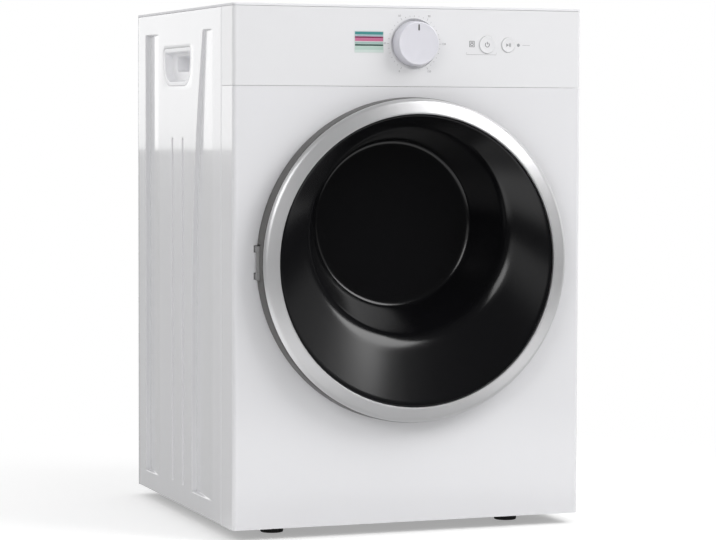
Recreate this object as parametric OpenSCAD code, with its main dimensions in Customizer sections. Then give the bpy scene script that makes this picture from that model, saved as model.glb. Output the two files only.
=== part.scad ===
// Compact vented tumble dryer with a round front door.
// X runs to the right, Y to the back and Z up. The origin is on the floor, in the middle of the footprint.

/* [Cabinet] */
// Width of the cabinet
body_w = 595; // [590:5:640]
// Depth of the cabinet, without the door and the spigot
body_d = 555; // [550:5:620]
// Height from the floor to the top
body_h = 845; // [840:5:900]
// Height of the cabinet's lower edge over the floor
foot_h = 18; // [16:1:26]
// Thickness of the sheet steel
sheet = 1.2; // [0.8:0.1:1.6]
// How far the front panels wrap round the sides
wrap_d = 60; // [50:1:66]
// Outer radius of the upright front corners
corner_r = 6; // [4:1:10]
// Width of the panels' turned-in flanges
flange_w = 15; // [8:1:18]
// Height of the control panel, from the seam under it to the top
panel_h = 128; // [115:1:133]
// Gap at the seams between outer panels
seam_gap = 0.5; // [0.3:0.1:1]
// Height of the top cover's edge
cover_edge = 3.5; // [3:0.5:8]
// Wall of the control panel and of the base tray
plastic = 2.4; // [2:0.2:3]
// Height of the base tray's rim
tray_h = 28; // [20:1:29]

/* [Side pressings] */
// Depth of the two wedge pressings
press_depth = 8; // [4:0.5:9]
// Lower end of the wedge pressings
press_low_z = 50; // [49:1:80]
// Distance of the wedge pressings' upper end from the top
press_drop = 38; // [35:1:65]
// Front wedge: distance from the front where it starts
press1_fade = 111; // [100:1:125]
// Front wedge: distance from the front of its deep edge
press1_deep = 225; // [210:1:228]
// Front wedge: height where its deep edge starts to curve
press1_bend_z = 330; // [250:5:450]
// Front wedge: how far the curve draws in at the top
press1_curve = 63; // [30:1:70]
// Rear wedge: length from where it starts to its deep edge
press2_len = 80; // [66:1:106]
// Rear wedge: distance of its deep edge from the back
press2_back = 49; // [43:1:60]
// Distance of the first narrow groove from the front
groove1_q = 279; // [265:1:290]
// Distance of the second narrow groove from the front
groove2_q = 340; // [325:1:355]
// Width of the narrow grooves
groove_w = 10; // [6:1:14]
// Depth of the narrow grooves
groove_depth = 3; // [1.5:0.5:4]
// Lower end of the narrow grooves
groove_low_z = 52; // [50:1:100]
// Distance of the narrow grooves' upper end from the top
groove_drop = 212; // [165:1:345]

/* [Handle cups] */
// Distance of the D-shaped cup's front end from the front
cup_front_q = 230; // [225:1:245]
// Distance of the cup's rear end from the front
cup_rear_q = 391; // [375:1:395]
// Distance of the cup's upper edge from the top
cup_drop = 63; // [55:1:67]
// Height of the cup
cup_h = 63; // [57:1:67]
// Radius of the D's lower corners
cup_r = 40; // [20:1:50]
// Width of the rim round the cup
cup_rim = 7; // [5:0.5:10]
// Depth of the outer bowl of the cup
cup_depth = 13; // [8:1:18]
// Depth of the finger pocket behind the bowl
pocket_depth = 30; // [20:1:34]
// Width of the finger pocket
pocket_w = 88; // [70:1:96]
// Height of the finger pocket
pocket_h = 26; // [22:1:30]

/* [Door] */
// How far the door stands in front of the cabinet
door_proud = 41; // [38:1:48]
// Height of the door's centre
door_z = 440; // [435:1:445]
// Outer radius of the bezel at its foot
bezel_r = 260; // [258:1:264]
// Radius of the dark dish inside the bezel
dish_r = 233; // [225:1:236]
// Rounding of the bezel's front edge
bezel_nose = 12; // [8:0.5:14]
// Wall of the bezel and of the dish
door_wall = 2.4; // [2:0.2:3]
// Gap between the closed door and the front panel
door_gap = 3; // [2.5:0.1:4]
// Radius of the well's edge in the dish
well_r = 168; // [160:1:169]
// Height of the middle of the well's edge
well_z = 482; // [478:1:486]
// Radius of the well's floor
floor_r = 135; // [120:1:140]
// Height of the middle of the well's floor
floor_z = 496; // [490:1:500]
// How far the well's floor lies behind the front of the cabinet
floor_q = 83; // [60:1:86]
// Rounding between the dish and the well, and at the well's floor
well_round = 7; // [4:0.5:9]
// Lower end of the finger grip in the bezel's edge
grip_low_z = 375; // [370:1:385]
// Upper end of the finger grip
grip_top_z = 447; // [435:1:450]
// Radius of the finger grip's scoop
grip_r = 9; // [7:0.5:11]

/* [Door hinge and latch] */
// Distance of the hinge pin from the middle
hinge_x = 257; // [256:0.5:258]
// Distance of the hinge pin in front of the cabinet
hinge_q = 9; // [8.5:0.5:9.5]
// Radius of the hinge pin
hinge_pin_r = 3; // [2.5:0.5:3]
// Outer radius of the hinge knuckles
knuckle_r = 5.5; // [5:0.1:5.8]
// Height of the strap's knuckle
strap_h = 33; // [25:1:40]
// Height of each fixed knuckle
fixed_h = 9; // [7:1:12]
// Distance of the strike from the middle
strike_x = 228; // [222:1:232]
// Length of the strike behind the door
strike_len = 15; // [12:1:18]
// Distance of the door switch from the middle
switch_x = 222; // [215:1:228]
// Height of the door switch
switch_z = 500; // [490:1:510]
// Radius of the door switch's plunger
plunger_r = 3; // [2.5:0.5:4]

/* [Mouth and bulkheads] */
// Radius of the loading mouth
mouth_r = 178; // [177:0.5:182]
// Height of the loading mouth's middle
mouth_z = 484; // [482:1:488]
// Distance of the front bulkhead from the front
bulk1_q = 70; // [68:1:72]
// Thickness of the front felt ring
front_felt_t = 12.2; // [8:0.2:24]
// Width of the felt rings
felt_w = 12; // [8:1:16]
// Radius of the air opening in the rear bulkhead and in the drum
vent_r = 92; // [80:1:96]

/* [Drum] */
// Outer radius of the drum
drum_r = 277; // [272:1:278]
// Thickness of the drum's wall
drum_t = 1; // [0.8:0.1:1.2]
// Distance of the drum's front edge from the front
drum_front_q = 75; // [74:1:78]
// Distance of the drum's rear wall from the back of the cabinet
drum_rear_q = 61; // [60:1:64]
// Height of the three lifters
lifter_h = 45; // [30:1:50]
// Half width of a lifter at its foot
lifter_w = 42; // [30:1:50]
// Distance of the lifters from the drum's front edge
lifter_front = 45; // [40:1:80]
// Distance of the lifters from the drum's rear wall
lifter_rear = 34; // [26:1:60]
// Radius of the drum's stub shaft
shaft_r = 10; // [8:1:12]
// Radius of the lint filter
filter_r = 100; // [97:1:102]
// Thickness of the lint filter
filter_t = 9; // [7:1:12]

/* [Drive] */
// Distance of the motor's axis from the middle
motor_x = 190; // [186:1:192]
// Height of the motor's axis
motor_z = 105; // [103:1:108]
// Radius of the motor's body
motor_r = 55; // [45:1:57]
// Length of the motor's body
motor_len = 102; // [90:1:104]
// Gap between the motor's rear hub and the fan housing
motor_gap = 4; // [3:0.5:6]
// Radius of the motor's shaft
motor_shaft_r = 6; // [5:0.5:7]
// Radius of the motor's pulley
pulley_r = 8; // [8:0.5:10]
// Width of the belt
belt_w = 9; // [7:0.5:9.5]
// Thickness of the belt
belt_t = 2.4; // [2:0.2:3]
// Distance of the belt's middle in front of the motor
belt_reach = 34.5; // [33:0.5:36]
// Distance of the idler pulley from the middle
idler_x = 135; // [132:1:138]
// Distance of the idler pulley's axis from the drum
idler_drop = 52; // [50:1:54]
// Radius of the idler pulley
idler_r = 20; // [17:0.5:21]
// Distance of the idler arm's pivot from the middle
pivot_x = 72; // [68:1:76]
// Distance of the idler arm's pivot from the drum
pivot_drop = 35.4; // [34:0.2:37]
// Distance of the spring from the arm's pivot
spring_reach = 30; // [25:1:34]
// Radius of the spring's coil
coil_r = 6; // [5:0.5:8]
// Radius of the spring's wire
wire_r = 0.8; // [0.6:0.1:1]
// Number of turns of the spring
coil_turns = 16; // [10:1:20]

/* [Air] */
// Radius of the fan wheel
fan_r = 56; // [50:1:57]
// Number of the fan wheel's blades
fan_blades = 32; // [24:1:40]
// Least radius of the fan's scroll
scroll_r0 = 60; // [59:1:62]
// Greatest radius of the fan's scroll
scroll_r1 = 75; // [68:1:76]
// Gap between the fan housing and the rear bulkhead
housing_gap = 1; // [0.5:0.1:2]
// Depth of the fan housing and the exhaust duct
duct_d = 39; // [36:0.5:39.5]
// Wall of the ducts
duct_t = 2; // [1.6:0.2:2.4]
// Outer radius of the exhaust spigot
spigot_r = 50; // [45:1:52]
// Length of the exhaust spigot behind the cabinet
spigot_len = 36; // [30:1:50]
// Distance of the exhaust spigot from the middle
spigot_x = 40; // [35:1:45]
// Height of the exhaust spigot
spigot_z = 90; // [86:1:94]
// Width of the heater box
heater_w = 220; // [180:5:240]
// Lower edge of the heater box
heater_low_z = 195; // [190:1:205]
// Height of the heater box
heater_h = 98; // [80:1:100]

/* [Controls] */
// Distance of the timer knob from the middle
knob_x = 5; // [0:1:10]
// Distance of the knob's and the buttons' middle from the top
control_drop = 60; // [55:1:65]
// Radius of the timer knob
knob_r = 36; // [30:0.5:38]
// How far the knob stands in front of the panel
knob_proud = 21; // [16:1:26]
// Depth of the recess round the knob
recess_depth = 4.5; // [3:0.5:6]
// Distance of the power button from the middle
power_x = 131; // [126:1:134]
// Radius of the power button
power_r = 14; // [11:0.5:15]
// Distance of the start button from the middle
start_x = 168; // [164:1:172]
// Radius of the start button
start_r = 12; // [9:0.5:13]
// Travel of the buttons
button_travel = 2.5; // [1.5:0.1:3]
// Distance of the indicator from the middle
lamp_x = 186; // [184:1:192]

/* [Feet] */
// Distance of the feet from the middle
foot_x = 205; // [190:1:215]
// Distance of the front feet from the front
foot_front_q = 85; // [80:1:100]
// Distance of the rear feet from the back
foot_rear_q = 35; // [34:1:37]
// Radius of the foot pads
foot_r = 18; // [15:1:20]
// Radius of the feet's threaded studs
stud_r = 5; // [4:0.5:6]

/* [Hidden] */

// Clearances: running fit of a shaft, pieces of different bodies, and parts that are assembled
run_fit = 0.05;
loose = 0.3;
seat = 0.2;

half_w = body_w / 2;
seam_z = body_h - panel_h;
control_z = body_h - control_drop;
press_top_z = body_h - press_drop;
press2_deep = body_d - press2_back;
press2_fade = press2_deep - press2_len;
groove_top_z = body_h - groove_drop;
cup_top_z = body_h - cup_drop;
cup_low_z = cup_top_z - cup_h;
front_y = -(body_d + door_proud + spigot_len) / 2 + door_proud;
back_y = front_y + body_d;
door_front = front_y - door_proud;
cover_z = body_h - cover_edge;
floor_top = foot_h + plastic;
inner_w = half_w - sheet - loose;
side_front = front_y + wrap_d + seam_gap;
side_back = back_y - sheet;
door_back = front_y - door_gap;
hinge_y = front_y - hinge_q;
bulk1_y = front_y + bulk1_q;
drum_y0 = front_y + drum_front_q;
drum_y1 = back_y - drum_rear_q;
felt_gap = 0.4;
rim_r = drum_r - drum_t - felt_gap - front_felt_t - seat - sheet;
rear_felt_t = 8.6;
bulk2_y = drum_y1 + rear_felt_t + felt_gap;
bulk2_w = half_w - press_depth - sheet - loose;
fan_y = bulk2_y - housing_gap - duct_d;
motor_hub_r = 21.6;
motor_hub_l = 10;
motor_y = fan_y - motor_gap - motor_hub_l - motor_len;
belt_y = motor_y - belt_reach;
belt_gap = 0.4;
function under_drum(x, gap) = door_z - sqrt(pow(drum_r + gap, 2) - x * x);
idler_z = under_drum(idler_x, idler_drop);
pivot_z = under_drum(pivot_x, pivot_drop);
spring_y = belt_y + 10.5;
frame_t = 1.5;
frame_hole_r = mouth_r + 2.5;
frame_hole_z = mouth_z - 5;
frame_r = bezel_r - 5;
rim_y = door_front + 5;

// Helpers

function turned(p) = [for (i = [len(p) - 1:-1:0]) p[i]];
function arc(c, r, a0, a1, n = 8) =
    [for (i = [0:n]) let (a = a0 + (a1 - a0) * i / n) c + r * [cos(a), sin(a)]];
function round_rect(x0, y0, x1, y1, r, n = 5) = concat(arc([x1 - r, y1 - r], r, 0, 90, n),
    arc([x0 + r, y1 - r], r, 90, 180, n), arc([x0 + r, y0 + r], r, 180, 270, n),
    arc([x1 - r, y0 + r], r, 270, 360, n));
function angle_of(v) = atan2(v[1], v[0]);
// Outline round two circles and their outer tangents
function two_circles(c0, r0, c1, r1, n = 24) =
    let (v = c1 - c0, a = angle_of(v), t = acos((r0 - r1) / norm(v)))
    concat(arc(c0, r0, a + t, a + 360 - t, n), arc(c1, r1, a - t, a + t, n));

module block(a, b) translate(a) cube(b - a);
module along_x(x0, x1) translate([x0, 0, 0]) rotate([90, 0, 90]) linear_extrude(x1 - x0) children();
module along_y(y0, y1) translate([0, y1, 0]) rotate([90, 0, 0]) linear_extrude(y1 - y0) children();
module along_z(z0, z1) translate([0, 0, z0]) linear_extrude(z1 - z0) children();
module turned_y(x, z, fn = 96) translate([x, 0, z]) rotate([-90, 0, 0]) rotate_extrude($fn = fn) children();
module rod_y(x, z, r, y0, y1, fn = 48)
    translate([x, y0, z]) rotate([-90, 0, 0]) cylinder(h = y1 - y0, r = r, $fn = fn);
module rod_z(x, y, r, z0, z1, fn = 48) translate([x, y, z0]) cylinder(h = z1 - z0, r = r, $fn = fn);
module tube_y(x, z, r0, r1, y0, y1, fn = 96)
    turned_y(x, z, fn) polygon([[r0, y0], [r1, y0], [r1, y1], [r0, y1]]);

// Base and feet

foot_spots = [[-foot_x, front_y + foot_front_q], [foot_x, front_y + foot_front_q],
    [-foot_x, back_y - foot_rear_q], [foot_x, back_y - foot_rear_q]];
nut_h = 5;
boss_r = stud_r + 8;
boss_h = 14;
rib_h = 10;
tray_ribs_x = [-150, -50, 40, 110];
tray_ribs_y = [-160, -60];
tray_slots_x = [-240:24:-96];
tray_slot_w = 8;
tray_slot_y = [20, 120];
anchor_w = 12;
anchor_t = 3;
tray_front = front_y + sheet + loose;
tray_back = back_y - 2 * sheet - loose;

// Moulded tray with a rim, a rib grid, foot bosses and the spring's anchor
module base_tray() color("dimgray") difference() {
    union() {
        difference() {
            along_z(foot_h, foot_h + tray_h)
                polygon(round_rect(-inner_w, tray_front, inner_w, tray_back, corner_r));
            along_z(floor_top, foot_h + tray_h + 1) polygon(round_rect(-inner_w + plastic,
                tray_front + plastic, inner_w - plastic, tray_back - plastic, corner_r - plastic));
        }
        for (x = tray_ribs_x)
            block([x, tray_front, foot_h], [x + plastic, bulk1_y - 2, floor_top + rib_h]);
        for (y = tray_ribs_y) block([-inner_w, y, foot_h], [inner_w, y + plastic, floor_top + rib_h]);
        for (s = foot_spots) rod_z(s[0], s[1], boss_r, foot_h, floor_top + boss_h);
        block([spring_c[0] - anchor_w / 2, spring_y - anchor_t / 2, foot_h],
            [spring_c[0] + anchor_w / 2, spring_y + anchor_t / 2, spring_z0 - loose]);
    }
    for (s = foot_spots) rod_z(s[0], s[1], stud_r + run_fit, foot_h - 1, floor_top + boss_h + 1);
    for (x = tray_slots_x)
        block([x, tray_slot_y[0], foot_h - 1], [x + tray_slot_w, tray_slot_y[1], floor_top + 1]);
    rod_y(spigot_x, spigot_z, spigot_hole_r, tray_back - 6, tray_back + 1, 96);
}

// Levelling foot: a ribbed pad on a threaded stud
pad_h = 8;
flute_r = 2.5;
stud_above = 22;
module foot(s) color("black") {
    difference() {
        rod_z(s[0], s[1], foot_r, 0, pad_h);
        for (a = [0:30:330]) translate([s[0], s[1], 0]) rotate(a) translate([foot_r + 1.5, 0, 2])
            cylinder(h = pad_h - 1, r = flute_r, $fn = 24);
    }
    rod_z(s[0], s[1], stud_r, pad_h - 1, floor_top + stud_above);
}

module foot_lock_nuts() color("silver") for (s = foot_spots) difference() {
    rod_z(s[0], s[1], stud_r + 4, foot_h - nut_h, foot_h, 6);
    rod_z(s[0], s[1], stud_r + run_fit, foot_h - nut_h - 1, foot_h + 1);
}

// Outer panels

// Plan outline of the wrapped front, drawn in by o
function wrap_path(o) = concat([[-half_w + o, front_y + wrap_d]],
    arc([-half_w + corner_r, front_y + corner_r], corner_r - o, 180, 270, 6),
    arc([half_w - corner_r, front_y + corner_r], corner_r - o, 270, 360, 6),
    [[half_w - o, front_y + wrap_d]]);
module wrap(t) polygon(concat(wrap_path(0), turned(wrap_path(t))));

// Wedge pressing: a plane that sinks from the fade line to the deep edge, inside an outline
function press_edge(z) = press1_deep - press1_curve
    * pow(max(0, z - press1_bend_z) / (press_top_z - press1_bend_z), 2);
function press1_outline(o) = concat([[press1_fade, press_low_z - o], [press1_deep + o, press_low_z - o]],
    [for (i = [0:10]) let (z = press1_bend_z + (press_top_z - press1_bend_z) * i / 10)
        [press_edge(z) + o, i == 10 ? z + o : z]],
    [[press1_fade, press_top_z + o]]);
function press2_outline(o) = [[press2_fade, press_low_z - o], [press2_deep + o, press_low_z - o],
    [press2_deep + o, press_top_z + o], [press2_fade, press_top_z + o]];
groove_q = [groove1_q, groove2_q];
module wedge(outline, fade, deep, shift) {
    over = 10;
    low_x = half_w - press_depth * (deep + over - fade) / (deep - fade) - shift;
    intersection() {
        along_x(half_w - 40, half_w + 5) translate([front_y, 0]) polygon(outline);
        along_z(0, body_h) polygon([[half_w - shift, front_y + fade], [low_x, front_y + deep + over],
            [half_w + 2 - 2.5 * shift, front_y + deep + over], [half_w + 2 - 2.5 * shift, front_y + fade]]);
    }
}
module groove(q, o, x1) intersection() {
    along_z(groove_low_z - 5, groove_top_z + 5) polygon([[x1, front_y + q - groove_w / 2 - o],
        [half_w - groove_depth - o, front_y + q - groove_w / 4 - o],
        [half_w - groove_depth - o, front_y + q + groove_w / 4 + o], [x1, front_y + q + groove_w / 2 + o]]);
    along_y(front_y + q - groove_w, front_y + q + groove_w) polygon([[x1, groove_low_z - o],
        [half_w - groove_depth - o, groove_low_z + groove_w / 2 - o],
        [half_w - groove_depth - o, groove_top_z - groove_w / 2 + o], [x1, groove_top_z + o]]);
}

// D outline of the handle cup, grown by o
cup_seat = 1.5;
cup_top_r = 10;
module cup_shape(o) translate([front_y, 0]) polygon(concat(
    arc([cup_rear_q - cup_top_r, cup_top_z - cup_top_r], cup_top_r + o, 0, 90, 4),
    arc([cup_front_q + cup_top_r, cup_top_z - cup_top_r], cup_top_r + o, 90, 180, 4),
    arc([cup_front_q + cup_r, cup_low_z + cup_r], cup_r + o, 180, 270, 10),
    arc([cup_rear_q - cup_r, cup_low_z + cup_r], cup_r + o, 270, 360, 10)));

module right_side() difference() {
    union() {
        block([half_w - sheet, side_front, foot_h], [half_w, side_back, cover_z]);
        block([half_w - flange_w, side_front, foot_h + tray_h + 2], [half_w, side_front + sheet, cover_z]);
        block([half_w - flange_w, side_back - sheet, foot_h], [half_w, side_back, cover_z]);
        block([half_w - flange_w, side_front, cover_z - sheet], [half_w, side_back, cover_z]);
        wedge(press1_outline(sheet), press1_fade, press1_deep, sheet);
        wedge(press2_outline(sheet), press2_fade, press2_deep, sheet);
        for (q = groove_q) groove(q, sheet, half_w - sheet / 2);
        along_x(half_w - cup_seat - sheet, half_w - sheet / 2) cup_shape(sheet + seat);
    }
    wedge(press1_outline(0), press1_fade, press1_deep, 0);
    wedge(press2_outline(0), press2_fade, press2_deep, 0);
    for (q = groove_q) groove(q, 0, half_w + 0.5);
    along_x(half_w - cup_seat, half_w + 1) cup_shape(seat);
    along_x(half_w - cup_seat - 5, half_w + 1) cup_shape(-cup_rim + seat);
    for (z = screw_z) rod_y(screw_x, z, screw_hole_r, side_back - sheet - 1, side_back + 1, 24);
}

module right_side_panel() color("gainsboro") right_side();
module left_side_panel() color("gainsboro") mirror([1, 0, 0]) right_side();

pocket_mid = front_y + (cup_front_q + cup_rear_q) / 2;
pocket_z0 = cup_top_z - cup_rim - 6 - pocket_h;
module pocket(o) polygon(round_rect(pocket_mid - pocket_w / 2 - o, pocket_z0 - o,
    pocket_mid + pocket_w / 2 + o, pocket_z0 + pocket_h + o, 6 + o));
module handle_cup() difference() {
    union() {
        along_x(half_w - cup_seat, half_w) cup_shape(0);
        along_x(half_w - cup_depth, half_w) cup_shape(-cup_rim);
        along_x(half_w - cup_depth - pocket_depth, half_w - cup_depth + 1) pocket(duct_t);
    }
    along_x(half_w - cup_depth + duct_t, half_w + 1) cup_shape(-cup_rim - duct_t);
    along_x(half_w - cup_depth - pocket_depth + duct_t, half_w) pocket(0);
}
module right_handle_cup() color("lightgray") handle_cup();
module left_handle_cup() color("lightgray") mirror([1, 0, 0]) handle_cup();

// Top: a shallow pan with a fine edge and two stiffening ribs under it
cover_t = 1.5;
cover_rib_w = 40;
module top_cover() color("white") {
    plan = concat([[half_w, back_y], [-half_w, back_y]],
        arc([-half_w + corner_r, front_y + corner_r], corner_r, 180, 270, 6),
        arc([half_w - corner_r, front_y + corner_r], corner_r, 270, 360, 6));
    difference() {
        along_z(cover_z, body_h) polygon(plan);
        block([-half_w + flange_w, front_y + flange_w, cover_z - 1],
            [half_w - flange_w, back_y - flange_w, body_h - cover_t]);
    }
    for (x = [-half_w / 2, half_w / 2])
        block([x - cover_rib_w / 2, front_y + flange_w - 1, cover_z],
            [x + cover_rib_w / 2, back_y - flange_w + 1, body_h - cover_t / 2]);
}

// Rear panel with hooded louvres, the spigot's hole and the cord gland's hole
gland_x = -235;
gland_z = 150;
louvre_w = 90;
louvre_pitch = 18;
louvre_rows = 9;
louvre_h = 12;
louvre_out = 4;
louvre_skin = 1.2;
louvre_z = body_h - 285;
louvre_cols = [-200, 0, 200];
screws_up = 5;
screw_low = foot_h + 42;
screw_drop = 30;
screw_r = 1.9;
screw_head_r = 4;
screw_hole_r = 2.2;
spigot_hole_r = spigot_r + 8;
panel_hole_r = spigot_r + 5;
spigot_lip = 2;
screw_z = [for (i = [0:screws_up - 1])
    screw_low + (body_h - screw_drop - screw_low) * i / (screws_up - 1)];
screw_x = half_w - flange_w / 2 - 0.5;
screw_spots = [for (z = screw_z) for (s = [-1, 1]) [s * screw_x, z]];
module rear_panel() color("silver") difference() {
    union() {
        block([-half_w, side_back, foot_h], [half_w, back_y, cover_z]);
        for (x = louvre_cols) for (i = [0:louvre_rows - 1]) let (z = louvre_z + i * louvre_pitch)
            along_x(x - louvre_w / 2, x + louvre_w / 2)
                polygon([[back_y - 0.5, z + louvre_h], [back_y, z + louvre_h],
                    [back_y + louvre_out, z + 1], [back_y + louvre_out, z], [back_y - 0.5, z]]);
    }
    for (x = louvre_cols) for (i = [0:louvre_rows - 1]) let (z = louvre_z + i * louvre_pitch)
        along_x(x - louvre_w / 2 + 1, x + louvre_w / 2 - 1)
            polygon([[back_y - 5, z + louvre_h - 3], [back_y - 0.4, z + louvre_h - 3],
                [back_y + louvre_out - louvre_skin, z + 0.6], [back_y + louvre_out - louvre_skin, z - 1],
                [back_y - 5, z - 1]]);
    rod_y(spigot_x, spigot_z, panel_hole_r, side_back - 1, back_y + 1, 96);
    rod_y(gland_x, gland_z, gland_r + seat, side_back - 1, back_y + 1);
    for (s = screw_spots) rod_y(s[0], s[1], screw_hole_r, side_back - 1, back_y + 1, 24);
}
module rear_panel_screws() color("silver") for (s = screw_spots) {
    rod_y(s[0], s[1], screw_head_r, back_y, back_y + 2.2, 24);
    rod_y(s[0], s[1], screw_r, side_back - 4, back_y + 1, 24);
}

// Front panel: sheet wrapped round both sides, with the mouth, a lip and the door's slots
slot_gap = 1;
lip_d = 6;
module front_panel() color("white") difference() {
    union() {
        along_z(foot_h, seam_z - seam_gap) wrap(sheet);
        block([-half_w + corner_r, front_y, foot_h],
            [half_w - corner_r, front_y + sheet + 0.1, foot_h + sheet]);
        block([-half_w + corner_r, front_y, seam_z - seam_gap - sheet],
            [half_w - corner_r, front_y + flange_w, seam_z - seam_gap]);
        rod_y(0, mouth_z, mouth_r + sheet, front_y, front_y + lip_d, 144);
    }
    rod_y(0, mouth_z, mouth_r, front_y - 1, front_y + lip_d + 2, 144);
    for (s = [-1, 1]) let (z = door_z + s * (strap_h / 2 + seat * 2 + fixed_h / 2))
        block([-hinge_x - knuckle_r - slot_gap, front_y - 1, z - fixed_h / 2 - slot_gap],
            [-hinge_x + knuckle_r + slot_gap, front_y + sheet + 1, z + fixed_h / 2 + slot_gap]);
    block([strike_x - 4, front_y - 1, door_z - 10], [strike_x + 7, front_y + sheet + 1, door_z + 10]);
    rod_y(switch_x, switch_z, plunger_r + 1, front_y - 1, front_y + sheet + 1);
}

// Control panel: moulded fascia with the knob's recess, button holes, ribs and board posts
recess_r = knob_r + 4;
panel_ribs_x = [-250, -190, -130, -70, 75, 235];
board_y = front_y + 13;
board_x0 = power_x - power_r - 21;
board_x1 = lamp_x + 22;
board_h = 44;
post_r = 4;
post_in = 6;
board_posts = [for (x = [board_x0 + post_in, board_x1 - post_in]) for (z = [-1, 1])
    [x, control_z + z * (board_h / 2 - post_in)]];
collar_d = 5;
collar_t = 1.5;
module control_panel() color("white") difference() {
    union() {
        along_z(seam_z, cover_z - seam_gap) wrap(plastic);
        block([-half_w + corner_r, front_y, cover_z - seam_gap - plastic],
            [half_w - corner_r, front_y + flange_w, cover_z - seam_gap]);
        block([-half_w + corner_r, front_y, seam_z],
            [half_w - corner_r, front_y + flange_w, seam_z + plastic]);
        rod_y(knob_x, control_z, recess_r + plastic, front_y + 1, front_y + recess_depth + plastic, 96);
        for (x = panel_ribs_x)
            block([x, front_y + 1, seam_z + 1], [x + plastic, front_y + flange_w, cover_z - seam_gap - 1]);
        for (s = board_posts) rod_y(s[0], s[1], post_r, front_y + 1, board_y);
        for (b = [[power_x, power_r], [start_x, start_r]])
            tube_y(b[0], control_z, b[1] + loose, b[1] + loose + collar_t, front_y + 1, front_y + collar_d);
    }
    rod_y(knob_x, control_z, recess_r, front_y - 1, front_y + recess_depth, 96);
    rod_y(knob_x, control_z, spindle_r + loose, front_y, front_y + 12);
    for (b = [[power_x, power_r + loose], [start_x, start_r + loose], [lamp_x, lamp_r + seat]])
        rod_y(b[0], control_z, b[1], front_y - 1, front_y + collar_d + 1);
}

// Bulkheads and the drum's carriers

bulk_r = 14;
bulk1_w = inner_w - plastic - loose;
bulk1_top = seam_z - 6;
air_slots_x = [-96:24:96];
air_slot_w = 12;
duct_gap = 12;
hole_x = 215;
hole_r = 22;
hole_zs = [120, seam_z - 77];
module side_flange(s, w, y0, y1, z0, z1) let (x = s * (w - sheet / 2))
    block([x - sheet / 2, y0, z0], [x + sheet / 2, y1, z1]);
module front_bulkhead() color("silver") difference() {
    union() {
        along_y(bulk1_y, bulk1_y + sheet)
            polygon(round_rect(-bulk1_w, floor_top + seat, bulk1_w, bulk1_top, bulk_r));
        for (s = [-1, 1]) side_flange(s, bulk1_w, bulk1_y, bulk1_y + flange_w, foot_h + tray_h + bulk_r,
            bulk1_top - bulk_r - 2);
        rod_y(0, mouth_z, mouth_r + sheet, front_y + lip_d + seam_gap, bulk1_y + sheet, 144);
        tube_y(0, door_z, rim_r, rim_r + sheet, bulk1_y, bulk1_y + felt_w + 10, 144);
    }
    rod_y(0, mouth_z, mouth_r, front_y, bulk1_y + sheet + 1, 144);
    for (x = air_slots_x) block([x - air_slot_w / 2, bulk1_y - 1, heater_low_z + duct_gap],
        [x + air_slot_w / 2, bulk1_y + sheet + 1, heater_low_z + heater_h - duct_gap]);
    for (x = [-hole_x, hole_x]) for (z = hole_zs) rod_y(x, z, hole_r, bulk1_y - 1, bulk1_y + sheet + 1);
}

module front_felt_ring() color("wheat") tube_y(0, door_z, rim_r + sheet + seat,
    drum_r - drum_t - felt_gap, drum_y0 + 1, drum_y0 + 1 + felt_w, 144);

hub_r = 24;
bearing_r = 18;
fan_inlet_r = 42;
bulk2_top = seam_z + 28;
spoke_w = 18;
module rear_bulkhead() color("silver") difference() {
    union() {
        difference() {
            along_y(bulk2_y, bulk2_y + sheet)
                polygon(round_rect(-bulk2_w, floor_top + seat, bulk2_w, bulk2_top, bulk_r));
            rod_y(0, door_z, vent_r, bulk2_y - 1, bulk2_y + sheet + 1, 96);
        }
        for (a = [30, 150, 270]) translate([0, 0, door_z]) rotate([0, -a, 0])
            block([hub_r - 2, bulk2_y, -spoke_w / 2], [vent_r + 5, bulk2_y + sheet * 2, spoke_w / 2]);
        rod_y(0, door_z, hub_r, bulk2_y, bulk2_y + sheet * 3);
        for (s = [-1, 1]) side_flange(s, bulk2_w, bulk2_y - flange_w, bulk2_y + sheet,
            floor_top + tray_h, bulk2_top - bulk_r - 1);
    }
    rod_y(0, door_z, bearing_r + seat / 2, bulk2_y - 1, bulk2_y + sheet * 4);
    rod_y(motor_x, motor_z, fan_inlet_r + 3, bulk2_y - 1, bulk2_y + sheet + 1, 96);
    rod_y(spigot_x, spigot_z, spigot_hole_r, bulk2_y - 1, bulk2_y + sheet + 1, 96);
}

bearing_len = 16;
module drum_bearing() color("tan") turned_y(0, door_z, 48)
    polygon([[shaft_r + run_fit, bulk2_y - 2.6], [hub_r + 2, bulk2_y - 2.6], [hub_r + 2, bulk2_y - 0.1],
        [bearing_r, bulk2_y - 0.1], [bearing_r, bulk2_y + bearing_len],
        [shaft_r + run_fit, bulk2_y + bearing_len]]);

rear_felt_r = vent_r + 13;
module rear_felt_ring() color("wheat")
    tube_y(0, door_z, rear_felt_r, rear_felt_r + felt_w, drum_y1 + felt_gap, bulk2_y, 96);

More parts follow.
